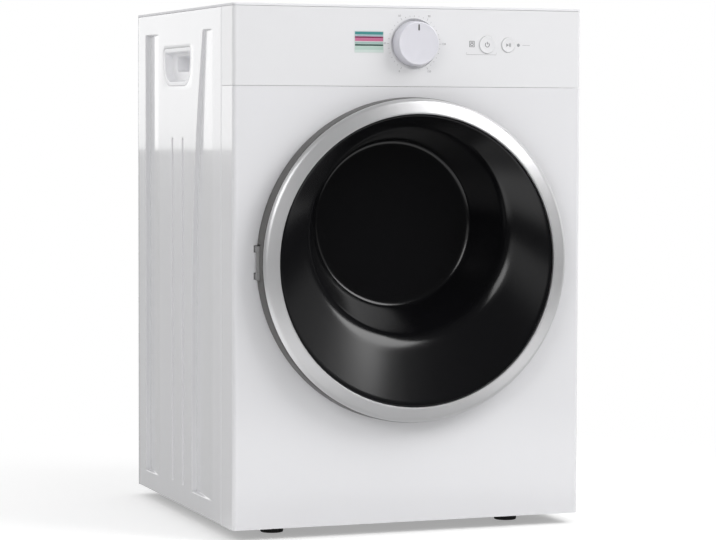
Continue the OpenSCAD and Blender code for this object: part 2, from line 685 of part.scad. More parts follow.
// Drum: rolled shell with beads and a rear wall with six air openings
bead_y = [drum_y0 + 55, drum_y0 + 130, drum_y1 - 109, drum_y1 - 49];
bead_h = 2;
bead_w = 14;
drum_edge = 6;
function bead(b, o) = [[drum_r - o, b - bead_w / 2], [drum_r + bead_h - o, b - bead_w / 5],
    [drum_r + bead_h - o, b + bead_w / 5], [drum_r - o, b + bead_w / 2]];
function drum_skin(o) = concat([[drum_r - o, drum_y0]], [for (b = bead_y) each bead(b, o)],
    [[drum_r - o, drum_y1 - drum_edge], [drum_r - drum_edge, drum_y1 - o], [0, drum_y1 - o]]);
vent_in_r = shaft_r + 30;
module drum_shell() color("lightsteelblue") difference() {
    turned_y(0, door_z, 144) polygon(concat(drum_skin(0), turned(drum_skin(drum_t))));
    translate([0, 0, door_z]) for (a = [0:60:300]) rotate([0, a, 0]) along_y(drum_y1 - 3, drum_y1 + 1)
        polygon(concat(arc([0, 0], vent_r - 4, 65, 115, 10), arc([0, 0], vent_in_r, 108, 72, 6)));
}

lifter_nose = 16;
lifter_y0 = drum_y0 + lifter_front;
lifter_y1 = drum_y1 - lifter_rear;
module lifter(o) polygon(concat([[drum_r + 5, -lifter_w + o], [drum_r + 5, lifter_w - o]],
    arc([drum_r - lifter_h + lifter_nose, 0], lifter_nose - o, 78, 282, 10)));
module drum_baffles() color("lightgray") for (a = [30, 150, 270]) difference() {
    intersection() {
        translate([0, 0, door_z]) rotate([0, -a, 0]) along_y(lifter_y0, lifter_y1) lifter(0);
        rod_y(0, door_z, drum_r - drum_t - seat, drum_y0, drum_y1, 144);
    }
    translate([0, 0, door_z]) rotate([0, -a, 0])
        along_y(lifter_y0 + plastic, lifter_y1 - plastic) lifter(plastic);
}

module drum_shaft() color("dimgray") {
    rod_y(0, door_z, vent_in_r - 6, drum_y1, drum_y1 + 3);
    rod_y(0, door_z, shaft_r + 5, drum_y1 + 2, drum_y1 + 5.5);
    rod_y(0, door_z, shaft_r, drum_y1 + 2, bulk2_y + bearing_len + 10);
}

// Lint filter: a round cassette in front of the drum's rear wall, with a screen behind rings and spokes,
// and a pull knob in the middle
filter_y = drum_y1 - drum_t - seat - filter_t;
filter_rim = 7;
filter_rings = [32, 50, 68, 84];
filter_knob_r = 18;
screen_y = filter_y + 5;
screen_t = 1;
module lint_filter() color("white") {
    rim_in = filter_r - filter_rim;
    turned_y(0, door_z) polygon(concat([[0, screen_y + screen_t], [0, filter_y - 9]],
        arc([filter_knob_r - 4, filter_y - 5], 4, 270, 360, 4), [[filter_knob_r - 1, screen_y]],
        [for (r = filter_rings) each [[r, screen_y], [r, filter_y], [r + 3, filter_y], [r + 3, screen_y]]],
        [[rim_in, screen_y], [rim_in, filter_y], [filter_r, filter_y], [filter_r, filter_y + filter_t],
        [rim_in, filter_y + filter_t], [rim_in, screen_y + screen_t]]));
    for (a = [15:30:345]) translate([0, 0, door_z]) rotate([0, a, 0])
        block([filter_knob_r - 4, filter_y + 0.6, -1.2], [rim_in + 2, screen_y + screen_t / 2, 1.2]);
}

// Heater

heater_y = front_y + sheet + 2;
intake_x = [-96:16:96];
intake_w = 8;
module heater_box() color("silver") difference() {
    block([-heater_w / 2, heater_y, heater_low_z], [heater_w / 2, bulk1_y, heater_low_z + heater_h]);
    block([-heater_w / 2 + sheet, heater_y + sheet, heater_low_z + sheet],
        [heater_w / 2 - sheet, bulk1_y + 1, heater_low_z + heater_h - sheet]);
    for (x = intake_x) block([x - intake_w / 2, heater_y + duct_gap, heater_low_z - 1],
        [x + intake_w / 2, bulk1_y - duct_gap, heater_low_z + sheet + 1]);
}
// Heating element: three flat tubes between two end pieces, under a row of thin fins
element_h = 60;
element_end = 8;
tube_h = 8;
tube_pitch = 20;
fin_pitch = 5;
fin_t = 0.8;
module heater_element() color("gray") {
    z0 = heater_low_z + (heater_h - element_h) / 2;
    w = heater_w / 2 - sheet - loose;
    mid = heater_y + 32;
    for (s = [-1, 1]) let (x = s * (w - element_end / 2))
        block([x - element_end / 2, mid - 12, z0], [x + element_end / 2, mid + 12, z0 + element_h]);
    for (i = [-1:1]) let (z = z0 + element_h / 2 + i * tube_pitch)
        block([-w + 4, mid - 8, z - tube_h / 2], [w - 4, mid + 8, z + tube_h / 2]);
    for (x = [-w + element_end + 4:fin_pitch:w - element_end - 4])
        block([x - fin_t / 2, mid - 10, z0 + 2], [x + fin_t / 2, mid + 10, z0 + element_h - 2]);
}
thermostat_r = 12;
thermostat_cap_r = 8.5;
module heater_thermostats() color("black") for (y = [heater_y + 18, heater_y + 46])
    translate([heater_w / 2, y, heater_low_z + heater_h / 2]) rotate([0, 90, 0]) {
        cylinder(h = 3, r = thermostat_r, $fn = 48);
        cylinder(h = 11, r = thermostat_cap_r, $fn = 48);
        for (s = [-3.5, 2.5]) translate([s, -2.5, 10]) cube([1, 5, 8]);
    }

// Air path behind and under the drum

vent_c = [0, door_z];
fan_c = [motor_x, motor_z];
duct_y0 = bulk2_y + sheet + seat;
duct_y1 = side_back - 12;
module air_duct() color("lightgray") difference() {
    union() {
        along_y(duct_y0, duct_y1) polygon(two_circles(vent_c, vent_r + 12, fan_c, fan_inlet_r + 16));
        along_y(duct_y0, duct_y0 + 2) polygon(two_circles(vent_c, vent_r + 20, fan_c, fan_inlet_r + 24));
    }
    along_y(duct_y0 - 1, duct_y1 - duct_t) polygon(two_circles(vent_c, vent_r + 10, fan_c, fan_inlet_r + 14));
    rod_y(spigot_x, spigot_z, spigot_r + 10, duct_y0 - 1, duct_y1 + 1, 96);
}

// Fan scroll: its radius grows clockwise from the tongue at the left to the outlet under the wheel
scroll_n = 27;
outlet_x = 120;
outlet_top = motor_z - 3;
function scroll(o) = concat([for (i = [0:scroll_n]) let (f = i / scroll_n, a = 180 - 270 * f)
    fan_c + (scroll_r0 + (scroll_r1 - scroll_r0) * f + o) * [cos(a), sin(a)]],
    [[outlet_x, motor_z - scroll_r1 - o], [outlet_x, outlet_top + o]]);
module outlet() block([outlet_x - 5, fan_y + duct_t, motor_z - scroll_r1],
    [outlet_x + 5, fan_y + duct_d - duct_t, outlet_top]);
module blower_housing() color("lightgray") difference() {
    along_y(fan_y, fan_y + duct_d) polygon(scroll(duct_t));
    along_y(fan_y + duct_t, fan_y + duct_d - duct_t) polygon(scroll(0));
    outlet();
    rod_y(motor_x, motor_z, motor_shaft_r + 3, fan_y - 1, fan_y + duct_t + 1);
    rod_y(motor_x, motor_z, fan_inlet_r, fan_y + duct_d - duct_t - 1, fan_y + duct_d + 1, 96);
}

blade_c = 14;
module blower_impeller() color("white") {
    y0 = fan_y + duct_t + 4;
    y1 = fan_y + duct_d - duct_t - 4;
    difference() {
        union() {
            rod_y(motor_x, motor_z, fan_r, y0, y0 + 2, 96);
            rod_y(motor_x, motor_z, motor_shaft_r + 8, y0, y0 + 18);
            tube_y(motor_x, motor_z, fan_r - 6, fan_r, y1 - 2, y1);
            along_y(y0 + 1, y1 - 1) translate(fan_c) for (i = [0:fan_blades - 1]) rotate(i * 360 / fan_blades)
                polygon(concat(arc([fan_r - 9, -blade_c / 2], blade_c / 2 + 0.7, 15, 100, 5),
                    arc([fan_r - 9, -blade_c / 2], blade_c / 2 - 0.7, 100, 15, 5)));
        }
        rod_y(motor_x, motor_z, motor_shaft_r + 0.02, y0 - 1, y0 + 20);
    }
}

// Exhaust duct: from the scroll's outlet to the round opening at the spigot
exhaust_r = spigot_r + 7;
function exhaust(o) = concat(arc([spigot_x, spigot_z], exhaust_r + o, 90, 270, 16),
    [[outlet_x - loose - 18, motor_z - scroll_r1 - o], [outlet_x - loose, motor_z - scroll_r1 - o],
    [outlet_x - loose, outlet_top + o], [outlet_x - loose - 18, outlet_top + o]]);
module exhaust_duct() color("lightgray") difference() {
    along_y(fan_y, fan_y + duct_d) polygon(exhaust(duct_t));
    along_y(fan_y + duct_t, fan_y + duct_d - duct_t) polygon(exhaust(0));
    outlet();
    rod_y(spigot_x, spigot_z, spigot_r - 2, fan_y + duct_d - duct_t - 1, fan_y + duct_d + 1, 96);
}
neck_r = spigot_r - 1;
module exhaust_spigot() color("white") turned_y(spigot_x, spigot_z)
    polygon([[spigot_r - 2, fan_y + duct_d + seat], [spigot_r + 6, fan_y + duct_d + seat],
        [spigot_r + 6, fan_y + duct_d + seat + 2], [neck_r, fan_y + duct_d + seat + 2],
        [neck_r, back_y + seat], [spigot_hole_r, back_y + seat], [spigot_hole_r, back_y + spigot_lip],
        [spigot_r, back_y + spigot_lip], [spigot_r, back_y + spigot_len],
        [spigot_r - 2, back_y + spigot_len]]);

// Motor, belt and idler

motor_y1 = motor_y + motor_len;
bell_edge = 8;
stack_in = 28;
vent_slot_r = 35;
module motor_housing() color("gray") difference() {
    union() {
        turned_y(motor_x, motor_z) polygon([[motor_shaft_r + run_fit, motor_y - motor_hub_l],
            [motor_hub_r, motor_y - motor_hub_l], [motor_hub_r, motor_y], [motor_r - bell_edge, motor_y],
            [motor_r - 2, motor_y + bell_edge], [motor_r - 2, motor_y1 - bell_edge],
            [motor_r - bell_edge, motor_y1], [motor_hub_r, motor_y1], [motor_hub_r, motor_y1 + motor_hub_l],
            [motor_shaft_r + run_fit, motor_y1 + motor_hub_l]]);
        tube_y(motor_x, motor_z, motor_r - 5, motor_r, motor_y + stack_in, motor_y1 - stack_in);
    }
    for (a = [0:45:315]) translate([motor_x, 0, motor_z]) rotate([0, a, 0])
        for (y = [motor_y, motor_y1]) block([vent_slot_r - 7, y - 4, -4], [vent_slot_r + 7, y + 4, 4]);
}
bracket_w = 45;
bracket_t = 3;
module motor_bracket() color("silver") {
    h = motor_hub_r + loose;
    block([motor_x - bracket_w, motor_y - 12, floor_top],
        [motor_x + bracket_w, motor_y1 + 12, floor_top + 2]);
    for (y = [motor_y - bracket_t - 5, motor_y1 + 5]) difference() {
        along_y(y, y + bracket_t) polygon(concat(
            [[motor_x + bracket_w - 5, floor_top + 1], [motor_x + h + 12, motor_z - 20]],
            arc(fan_c, h + 8, 0, 180, 16),
            [[motor_x - h - 12, motor_z - 20], [motor_x - bracket_w + 5, floor_top + 1]]));
        rod_y(motor_x, motor_z, h, y - 1, y + bracket_t + 1);
    }
}
pulley_y0 = belt_y - belt_w / 2 - 0.5;
pulley_y1 = belt_y + belt_w / 2 + 0.5;
module motor_shaft() color("silver")
    rod_y(motor_x, motor_z, motor_shaft_r, pulley_y0 - 4, fan_y + duct_t + 24);
module motor_pulley() color("dimgray") turned_y(motor_x, motor_z, 48)
    polygon([[motor_shaft_r + 0.02, pulley_y0 - 2], [pulley_r + 4, pulley_y0 - 2], [pulley_r + 4, pulley_y0],
        [pulley_r, pulley_y0], [pulley_r, pulley_y1], [pulley_r + 4, pulley_y1],
        [pulley_r + 4, pulley_y1 + 2], [motor_shaft_r + 0.02, pulley_y1 + 2]]);

// The belt runs over the drum and the motor pulley, and its back runs over the idler.
idler_c = [idler_x, idler_z];
pivot_c = [pivot_x, pivot_z];
belt_rd = drum_r + belt_gap + belt_t / 2;
belt_rp = pulley_r + belt_gap + belt_t / 2;
belt_ri = idler_r + belt_gap + belt_t / 2;
belt_right = angle_of(fan_c - vent_c) + acos((belt_rd - belt_rp) / norm(fan_c - vent_c));
belt_left = angle_of(idler_c - vent_c) - acos((belt_rd + belt_ri) / norm(idler_c - vent_c));
belt_bend = angle_of(fan_c - idler_c) + acos((belt_ri + belt_rp) / norm(fan_c - idler_c));
function belt_path(o) = concat(arc(vent_c, belt_rd + o, belt_right, belt_left + 360, 84),
    arc(idler_c, belt_ri - o, belt_left + 180, belt_bend, 10),
    arc(fan_c, belt_rp + o, belt_bend + 180, belt_right + 360, 14));
module drum_belt() color("black") along_y(belt_y - belt_w / 2, belt_y + belt_w / 2) difference() {
    polygon(belt_path(belt_t / 2));
    polygon(belt_path(-belt_t / 2));
}

module idler_pulley() color("white") difference() {
    turned_y(idler_x, idler_z, 64) polygon([[axle_r + run_fit, belt_y - 5.5], [idler_r - 5, belt_y - 5.5],
        [idler_r - 4, belt_y - 3], [idler_r, belt_y - 5], [idler_r, belt_y + 5], [idler_r - 4, belt_y + 3],
        [idler_r - 5, belt_y + 5.5], [axle_r + run_fit, belt_y + 5.5]]);
    for (a = [0:60:300]) translate([idler_x, 0, idler_z]) rotate([0, a, 0]) translate([9.5, 0, 0])
        rod_y(0, 0, 2.6, belt_y - 7, belt_y + 7, 24);
}
arm_y0 = belt_y + 8.5;
arm_y1 = arm_y0 + 4;
arm_r = 10;
tail_r = 6;
axle_r = 4;
pin_r = 5;
module idler_arm() color("silver") difference() {
    union() {
        along_y(arm_y0, arm_y1) polygon(two_circles(pivot_c, arm_r, idler_c, arm_r - 3, 16));
        along_y(arm_y0, arm_y1)
            polygon(two_circles(pivot_c, arm_r, pivot_c - [spring_reach, 1], tail_r, 16));
        rod_y(idler_x, idler_z, axle_r, belt_y - 8, arm_y1);
        rod_y(idler_x, idler_z, axle_r + 2.5, belt_y - 8, belt_y - 6);
        rod_y(idler_x, idler_z, axle_r + 2.5, belt_y + 6, arm_y1);
        rod_y(pivot_x, pivot_z, arm_r - 2, arm_y0 - 3, arm_y1 + 1);
    }
    rod_y(pivot_x, pivot_z, pin_r + run_fit, arm_y0 - 5, arm_y1 + 3);
}
module idler_bracket() color("silver") {
    y0 = arm_y1 + 2;
    block([pivot_x - 14, y0, floor_top], [pivot_x + 14, y0 + 14, floor_top + 2]);
    along_y(y0, y0 + 3) polygon(concat([[pivot_x - 14, floor_top + 1], [pivot_x + 14, floor_top + 1]],
        arc(pivot_c, 10, 0, 180, 12)));
    rod_y(pivot_x, pivot_z, pin_r, arm_y0 - 6, y0 + 1);
}

// Tension spring: a wire wound upwards from the tray's anchor to the arm's tail
spring_z0 = 50;
spring_z1 = pivot_z - 1 - tail_r - loose;
spring_c = [pivot_x - spring_reach, spring_y];
coil_low = spring_z0 + 8;
coil_high = spring_z1 - 8;
coil_steps = coil_turns * 8;
function coil_point(i) = let (a = i * 45, f = i / coil_steps)
    [spring_c[0] + coil_r * cos(a), spring_c[1] + coil_r * sin(a), coil_low + (coil_high - coil_low) * f];
coil_path = concat([[spring_c[0], spring_c[1], spring_z0], [spring_c[0], spring_c[1], spring_z0 + 4]],
    [for (i = [0:coil_steps]) coil_point(i)],
    [[spring_c[0], spring_c[1], spring_z1 - 4], [spring_c[0], spring_c[1], spring_z1]]);
function unit(v) = v / norm(v);
module wire(path, r, sides = 6) {
    n = len(path);
    ring = function (i) let (e = unit(path[min(i + 1, n - 1)] - path[max(i - 1, 0)]),
        u = unit(cross(e, abs(e[2]) > 0.9 ? [0, 1, 0] : [0, 0, 1])), v = cross(e, u))
        [for (k = [0:sides - 1]) path[i] + r * (u * cos(k * 360 / sides) + v * sin(k * 360 / sides))];
    points = [for (i = [0:n - 1]) each ring(i)];
    faces = concat([[for (k = [0:sides - 1]) k]],
        [for (i = [0:n - 2]) for (k = [0:sides - 1]) let (a = i * sides + k, b = i * sides + (k + 1) % sides)
            each [[a, a + sides, b], [b, a + sides, b + sides]]],
        [[for (k = [sides - 1:-1:0]) (n - 1) * sides + k]]);
    polyhedron(points, faces);
}
module idler_spring() color("silver") wire(coil_path, wire_r);

// Door

// Bezel: a shell with a rounded front edge that falls in to the dish
function bezel_outer(o) = concat([[bezel_r - o, door_back], [bezel_r - 0.6 - o, door_back - 14]],
    arc([bezel_r - bezel_nose - 2, door_front + bezel_nose], bezel_nose - o, 0, -100, 12),
    [[dish_r + loose + (o > 0 ? 1.5 : 0), rim_y - 0.5 + o]]);
hinge_zs = strap_h / 2 + seat * 2 + fixed_h;
module grip(o) translate([bezel_r + 2.5, hinge_y - 4, grip_low_z - o])
    cylinder(h = grip_top_z - grip_low_z + 2 * o, r = grip_r + o, $fn = 48);
module door_bezel() color("silver") difference() {
    union() {
        turned_y(0, door_z, 144) polygon(concat(bezel_outer(0),
            [[dish_r + loose, rim_y + 3], [dish_r + loose + 1.5, rim_y + 3]],
            turned(bezel_outer(door_wall))));
        intersection() {
            grip(door_wall);
            turned_y(0, door_z, 144) polygon(concat(bezel_outer(0.4),
                [[dish_r + 12, rim_y + 3], [dish_r + 12, door_back]]));
        }
    }
    block([-bezel_r - 5, hinge_y - knuckle_r - 3.5, door_z - hinge_zs - 3],
        [-hinge_x + knuckle_r + 8, door_back + 1, door_z + hinge_zs + 3]);
    grip(0);
}

// Dish and well as rings of one loft: radius, height of the centre and Y of each ring
rim_ring = [dish_r - door_wall, door_z, rim_y];
edge_ring = [well_r, well_z, door_back];
floor_ring = [floor_r, floor_z, front_y + floor_q];
function between(a, b, f) = a + (b - a) * f;
function bend(a, b, c, ra, rc, n) =
    let (p = between(b, a, ra / norm(a - b)), q = between(b, c, rc / norm(c - b)))
    [for (i = [0:n]) let (f = i / n) between(between(p, b, f), between(b, q, f), f)];
function dish_rings(o, y) =
    let (a = rim_ring + [o, 0, y], b = edge_ring + [o, 0, y], c = floor_ring + [o, 0, y],
        d = [c[0] - 40, c[1], c[2]])
    concat([a, between(a, b, 0.35), between(a, b, 0.7)], bend(a, b, c, well_round * 2, well_round * 2, 4),
        [between(b, c, 0.6)], bend(b, c, d, well_round, well_round, 3));
module loft(rings, sides) {
    n = len(rings);
    points = [for (g = rings) for (k = [0:sides - 1]) let (a = -k * 360 / sides)
        [g[0] * cos(a), g[2], g[1] + g[0] * sin(a)]];
    faces = concat([[for (k = [0:sides - 1]) k]],
        [for (i = [0:n - 2]) for (k = [0:sides - 1]) let (a = i * sides + k, b = i * sides + (k + 1) % sides)
            each [[a, a + sides, b], [b, a + sides, b + sides]]],
        [[for (k = [sides - 1:-1:0]) (n - 1) * sides + k]]);
    polyhedron(points, faces);
}
module door_window() color([0.1, 0.1, 0.12]) difference() {
    loft(dish_rings(door_wall - 0.4, door_wall), 72);
    loft(dish_rings(0, 0), 72);
}

module door_inner_frame() color("white") difference() {
    union() {
        rod_y(0, door_z, frame_r, door_back - frame_t, door_back, 144);
        tube_y(0, door_z, frame_r - 6, frame_r - 4, door_back - 8, door_back - 1, 144);
    }
    rod_y(0, frame_hole_z, frame_hole_r, door_back - 12, door_back + 1, 144);
    block([-bezel_r, hinge_y - 8, door_z - hinge_zs - 3],
        [-hinge_x + knuckle_r + 3.5, door_back + 1, door_z + hinge_zs + 3]);
}
module door_seal() color("dimgray")
    tube_y(0, mouth_z, mouth_r + 5, mouth_r + 13, door_back, front_y - loose, 144);

module door_hinge_strap() color("silver") difference() {
    union() {
        rod_z(-hinge_x, hinge_y, knuckle_r, door_z - strap_h / 2, door_z + strap_h / 2);
        block([-hinge_x, door_back - frame_t - 3, door_z - strap_h / 2],
            [-hinge_x + 60, door_back - frame_t - seat, door_z + strap_h / 2]);
    }
    rod_z(-hinge_x, hinge_y, hinge_pin_r + run_fit, door_z - strap_h, door_z + strap_h);
}
module door_hinge_pin() color("silver") {
    rod_z(-hinge_x, hinge_y, hinge_pin_r, door_z - hinge_zs - 2, door_z + hinge_zs);
    rod_z(-hinge_x, hinge_y, hinge_pin_r + 1.4, door_z - hinge_zs - 2, door_z - hinge_zs - 0.1);
}
module door_hinge_bracket() color("silver") difference() {
    union() {
        block([-hinge_x - 20, front_y + sheet + seat, door_z - hinge_zs - 10],
            [-hinge_x + 32, front_y + sheet + seat + 3, door_z + hinge_zs + 10]);
        for (s = [-1, 1]) let (z = door_z + s * (strap_h / 2 + seat * 2 + fixed_h / 2)) {
            rod_z(-hinge_x, hinge_y, knuckle_r, z - fixed_h / 2, z + fixed_h / 2);
            block([-hinge_x - knuckle_r, hinge_y, z - fixed_h / 2],
                [-hinge_x + knuckle_r, front_y + sheet + seat + 1, z + fixed_h / 2]);
        }
    }
    rod_z(-hinge_x, hinge_y, hinge_pin_r + 0.02, door_z - 60, door_z + 60);
}

module door_strike() color("silver") {
    block([strike_x - 12, door_back, door_z - 14], [strike_x + 12, door_back + frame_t, door_z + 14]);
    along_z(door_z - 6, door_z + 6) polygon([[strike_x - 1.5, door_back + 1], [strike_x + 1.5, door_back + 1],
        [strike_x + 1.5, door_back + strike_len - 6], [strike_x + 3, door_back + strike_len - 4],
        [strike_x + 1, door_back + strike_len], [strike_x - 1.5, door_back + strike_len]]);
}
module door_catch() color("black") difference() {
    block([strike_x - 14, front_y + sheet + seat, door_z - 17],
        [strike_x + 17, front_y + sheet + strike_len + 9, door_z + 17]);
    block([strike_x - 5, front_y, door_z - 11],
        [strike_x + 8, front_y + sheet + strike_len + 5, door_z + 11]);
}
switch_d = 20;
module door_switch() color("black") difference() {
    block([switch_x - 12, front_y + sheet + seat, switch_z - 12],
        [switch_x + 12, front_y + switch_d, switch_z + 22]);
    rod_y(switch_x, switch_z, plunger_r + run_fit, front_y, front_y + switch_d - 4);
}
module door_switch_plunger() color("white")
    rod_y(switch_x, switch_z, plunger_r, door_back + loose, front_y + switch_d / 2 - 1);

// Controls

spindle_r = 3;
spindle_len = 18;
pointer_w = 2.4;
pointer_from = 21;
pointer_to = 30;
pointer_depth = 0.8;
lamp_r = 2.4;
knob_back = front_y + recess_depth - loose;
timer_y = front_y + recess_depth + plastic + seat;
knob_face = front_y - knob_proud;
module timer_knob() color("silver") difference() {
    union() {
        turned_y(knob_x, control_z, 96) polygon(concat([[0, knob_back], [0, knob_face]],
            arc([knob_r - 5.5, knob_face + 2.5], 2.5, 270, 360, 5),
            [[knob_r - 1.8, front_y - 4], [knob_r, front_y - 2.5], [knob_r, knob_back]]));
        rod_y(knob_x, control_z, spindle_r, knob_back - 1, timer_y + spindle_len);
    }
    block([knob_x - pointer_w / 2, knob_face - 1, control_z + pointer_from],
        [knob_x + pointer_w / 2, knob_face + pointer_depth, control_z + pointer_to]);
}
timer_w = 54;
timer_d = 33;
tab_w = 6;
tab_len = 8;
module timer_switch() color("dimgray") difference() {
    union() {
        block([knob_x - timer_w / 2, timer_y + 3, control_z - timer_w / 2],
            [knob_x + timer_w / 2, timer_y + 3 + timer_d, control_z + timer_w / 2]);
        rod_y(knob_x, control_z, spindle_r + 6, timer_y, timer_y + 4);
        for (i = [-2:2]) let (x = knob_x + i * timer_w / 5.4)
            block([x - tab_w / 2, timer_y + timer_d, control_z - 20],
                [x + tab_w / 2, timer_y + 3 + timer_d + tab_len, control_z - 19]);
    }
    rod_y(knob_x, control_z, spindle_r + run_fit, timer_y - 1, timer_y + spindle_len + 2);
}

// Round button: a dished cap with a retaining flange and a stem
button_proud = 1.5;
module button(x, r) turned_y(x, control_z, 64) polygon([[0, front_y - button_proud + 0.8],
    [r * 0.6, front_y - button_proud + 0.5], [r - 1, front_y - button_proud], [r, front_y - button_proud + 1],
    [r, front_y + 5 + loose], [r + 1.4, front_y + 5 + loose], [r + 1.4, front_y + 6.5], [2.5, front_y + 6.5],
    [2.5, board_y - 2 - button_travel - loose], [0, board_y - 2 - button_travel - loose]]);
module power_button() color("white") button(power_x, power_r);
module start_button() color("white") button(start_x, start_r);
module button_board() color("darkgreen") {
    block([board_x0, board_y, control_z - board_h / 2], [board_x1, board_y + 1.6, control_z + board_h / 2]);
    for (x = [power_x, start_x])
        block([x - 3, board_y - 2, control_z - 3], [x + 3, board_y + 0.5, control_z + 3]);
    rod_y(lamp_x, control_z, 1.5, front_y + 3.4, board_y + 0.5, 24);
}
module indicator_lens() color("lightgray") turned_y(lamp_x, control_z, 32)
    polygon([[0, front_y - 0.4], [lamp_r - 0.8, front_y - 0.4], [lamp_r, front_y], [lamp_r, front_y + 3],
        [0, front_y + 3]]);

// Mains inlet: the gland alone, and the terminal block behind it
gland_r = 9;
cord_r = 4;
module cord_gland() color("black") turned_y(gland_x, gland_z, 48) polygon([[cord_r, side_back - 6],
    [gland_r + 3, side_back - 6], [gland_r + 3, side_back - seat], [gland_r, side_back - seat],
    [gland_r, back_y + seat], [gland_r + 4, back_y + seat], [gland_r + 3, back_y + 5],
    [cord_r + 3, back_y + 14], [cord_r, back_y + 14]]);
pole_pitch = 14;
block_h = 26;
block_z = gland_z + 43;
module terminal_block() color("ivory") difference() {
    block([gland_x - pole_pitch * 1.5 - 1, side_back - 24, block_z - block_h / 2],
        [gland_x + pole_pitch * 1.5 + 1, side_back - seat, block_z + block_h / 2]);
    for (i = [-1:1]) rod_y(gland_x + i * pole_pitch, block_z, 3.5, side_back - 25, side_back - 14, 24);
    for (x = [gland_x - pole_pitch / 2, gland_x + pole_pitch / 2])
        block([x - 1, side_back - 25, block_z - block_h / 2 - 1],
            [x + 1, side_back - 18, block_z + block_h / 2 + 1]);
}

base_tray();
foot(foot_spots[0]);  // foot_front_left
foot(foot_spots[1]);  // foot_front_right
foot(foot_spots[2]);  // foot_rear_left
foot(foot_spots[3]);  // foot_rear_right
foot_lock_nuts();
left_side_panel();
right_side_panel();
left_handle_cup();
right_handle_cup();
top_cover();
rear_panel();
rear_panel_screws();
front_panel();
control_panel();
front_bulkhead();
front_felt_ring();
heater_box();
heater_element();
heater_thermostats();
rear_bulkhead();
drum_bearing();
rear_felt_ring();
air_duct();
blower_housing();
exhaust_duct();
exhaust_spigot();
motor_housing();
motor_bracket();
idler_bracket();
idler_spring();
drum_belt();
door_hinge_bracket();
door_hinge_pin();
door_catch();
door_switch();
timer_switch();
button_board();
indicator_lens();
cord_gland();
terminal_block();
door_bezel();
door_window();
door_inner_frame();
door_seal();
door_hinge_strap();
door_strike();
drum_shell();
drum_baffles();
drum_shaft();
lint_filter();
motor_shaft();
motor_pulley();
blower_impeller();
idler_arm();
idler_pulley();
timer_knob();
power_button();
start_button();
door_switch_plunger();
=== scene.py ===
import bpy
import bmesh
from math import cos, pi, radians, sin, sqrt
from mathutils import Matrix, Vector


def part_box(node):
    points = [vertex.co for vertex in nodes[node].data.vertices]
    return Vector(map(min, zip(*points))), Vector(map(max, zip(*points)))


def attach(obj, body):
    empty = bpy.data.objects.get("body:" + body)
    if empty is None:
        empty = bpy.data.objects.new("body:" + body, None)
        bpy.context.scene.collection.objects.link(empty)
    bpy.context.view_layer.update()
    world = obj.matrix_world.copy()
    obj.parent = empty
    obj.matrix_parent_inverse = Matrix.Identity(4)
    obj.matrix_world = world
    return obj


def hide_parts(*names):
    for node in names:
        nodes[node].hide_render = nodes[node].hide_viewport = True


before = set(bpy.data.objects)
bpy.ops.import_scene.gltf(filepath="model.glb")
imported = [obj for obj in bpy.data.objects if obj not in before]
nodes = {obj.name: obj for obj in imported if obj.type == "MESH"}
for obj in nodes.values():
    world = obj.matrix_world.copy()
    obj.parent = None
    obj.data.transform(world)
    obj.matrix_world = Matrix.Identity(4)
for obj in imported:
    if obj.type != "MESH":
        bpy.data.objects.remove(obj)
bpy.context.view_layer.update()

scene = bpy.context.scene
print("stage: frame loaded,", len(nodes), "nodes")

mm = 0.001
weld = 1e-6  # metres; points nearer than this are one
bendShare = 0.45  # how much of its shorter side an outline's bend takes
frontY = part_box("front_panel")[0].y  # the cabinet's front face
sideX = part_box("right_side_panel")[1].x  # the cabinet's right face
doorHeight = 440  # mm, the door's middle over the floor
dialMiddle = (5, 785)  # mm, the timer knob's middle


# camera: where the photograph was taken from, in the object's own frame
camera = {
    "place": (-1.500, -4.105, 0.665),  # metres
    "azimuth": 20.22,  # degrees, turned to the right of straight ahead
    "pitch": 3.36,  # degrees down
    "roll": 0.20,  # degrees
    "focalPixels": 2572,
    "pictureWidth": 716,
    "sensor": 36.0,  # mm
    "clip": (0.05, 200),  # metres
}


def addCamera(c):
    az, down, roll = (radians(c[k]) for k in ("azimuth", "pitch", "roll"))
    ahead = Vector((sin(az) * cos(down), cos(az) * cos(down), -sin(down)))
    right = Vector((cos(az), -sin(az), 0))
    up = right.cross(ahead)
    side = cos(roll) * right + sin(roll) * up
    top = -sin(roll) * right + cos(roll) * up
    data = bpy.data.cameras.new("camera")
    data.lens = c["focalPixels"] * c["sensor"] / c["pictureWidth"]
    data.sensor_width = c["sensor"]
    data.clip_start, data.clip_end = c["clip"]
    cam = link(data, "camera")
    turn = Matrix((side, top, -ahead)).transposed().to_4x4()
    cam.matrix_world = Matrix.Translation(c["place"]) @ turn
    scene.camera = cam


# small helpers for objects and meshes

def link(data, name):
    obj = bpy.data.objects.new(name, data)
    scene.collection.objects.link(obj)
    return obj


def shadeSmooth(mesh, degrees=35):
    for p in mesh.polygons:
        p.use_smooth = True
    mesh.set_sharp_from_angle(angle=radians(degrees))


def finishPiece(obj, body, slot, *replaced, material=None):
    # the slot's own finish, unless the piece has another
    obj.data.materials.clear()
    obj.data.materials.append(material or finishes[slot])
    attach(obj, body)
    if replaced:
        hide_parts(*replaced)


# helpers for node trees: what feeds an input is a plain value or another node's socket

def feed(tree, socket, value):
    if isinstance(value, bpy.types.NodeSocket):
        tree.links.new(value, socket)
    else:
        socket.default_value = value


def addNode(tree, kind, values=(), out=0, **settings):
    # values gives what feeds each input, by name or number; the node's output comes back
    node = tree.nodes.new(kind)
    for key, value in settings.items():
        setattr(node, key, value)
    for key, value in dict(values).items():
        feed(tree, node.inputs[key], value)
    return node.outputs[out] if len(node.outputs) else None


def addMath(tree, operation, *values):
    return addNode(tree, "ShaderNodeMath", dict(enumerate(values)), operation=operation)


def addVector(tree, operation, values, out=0):
    return addNode(tree, "ShaderNodeVectorMath", values, out, operation=operation)


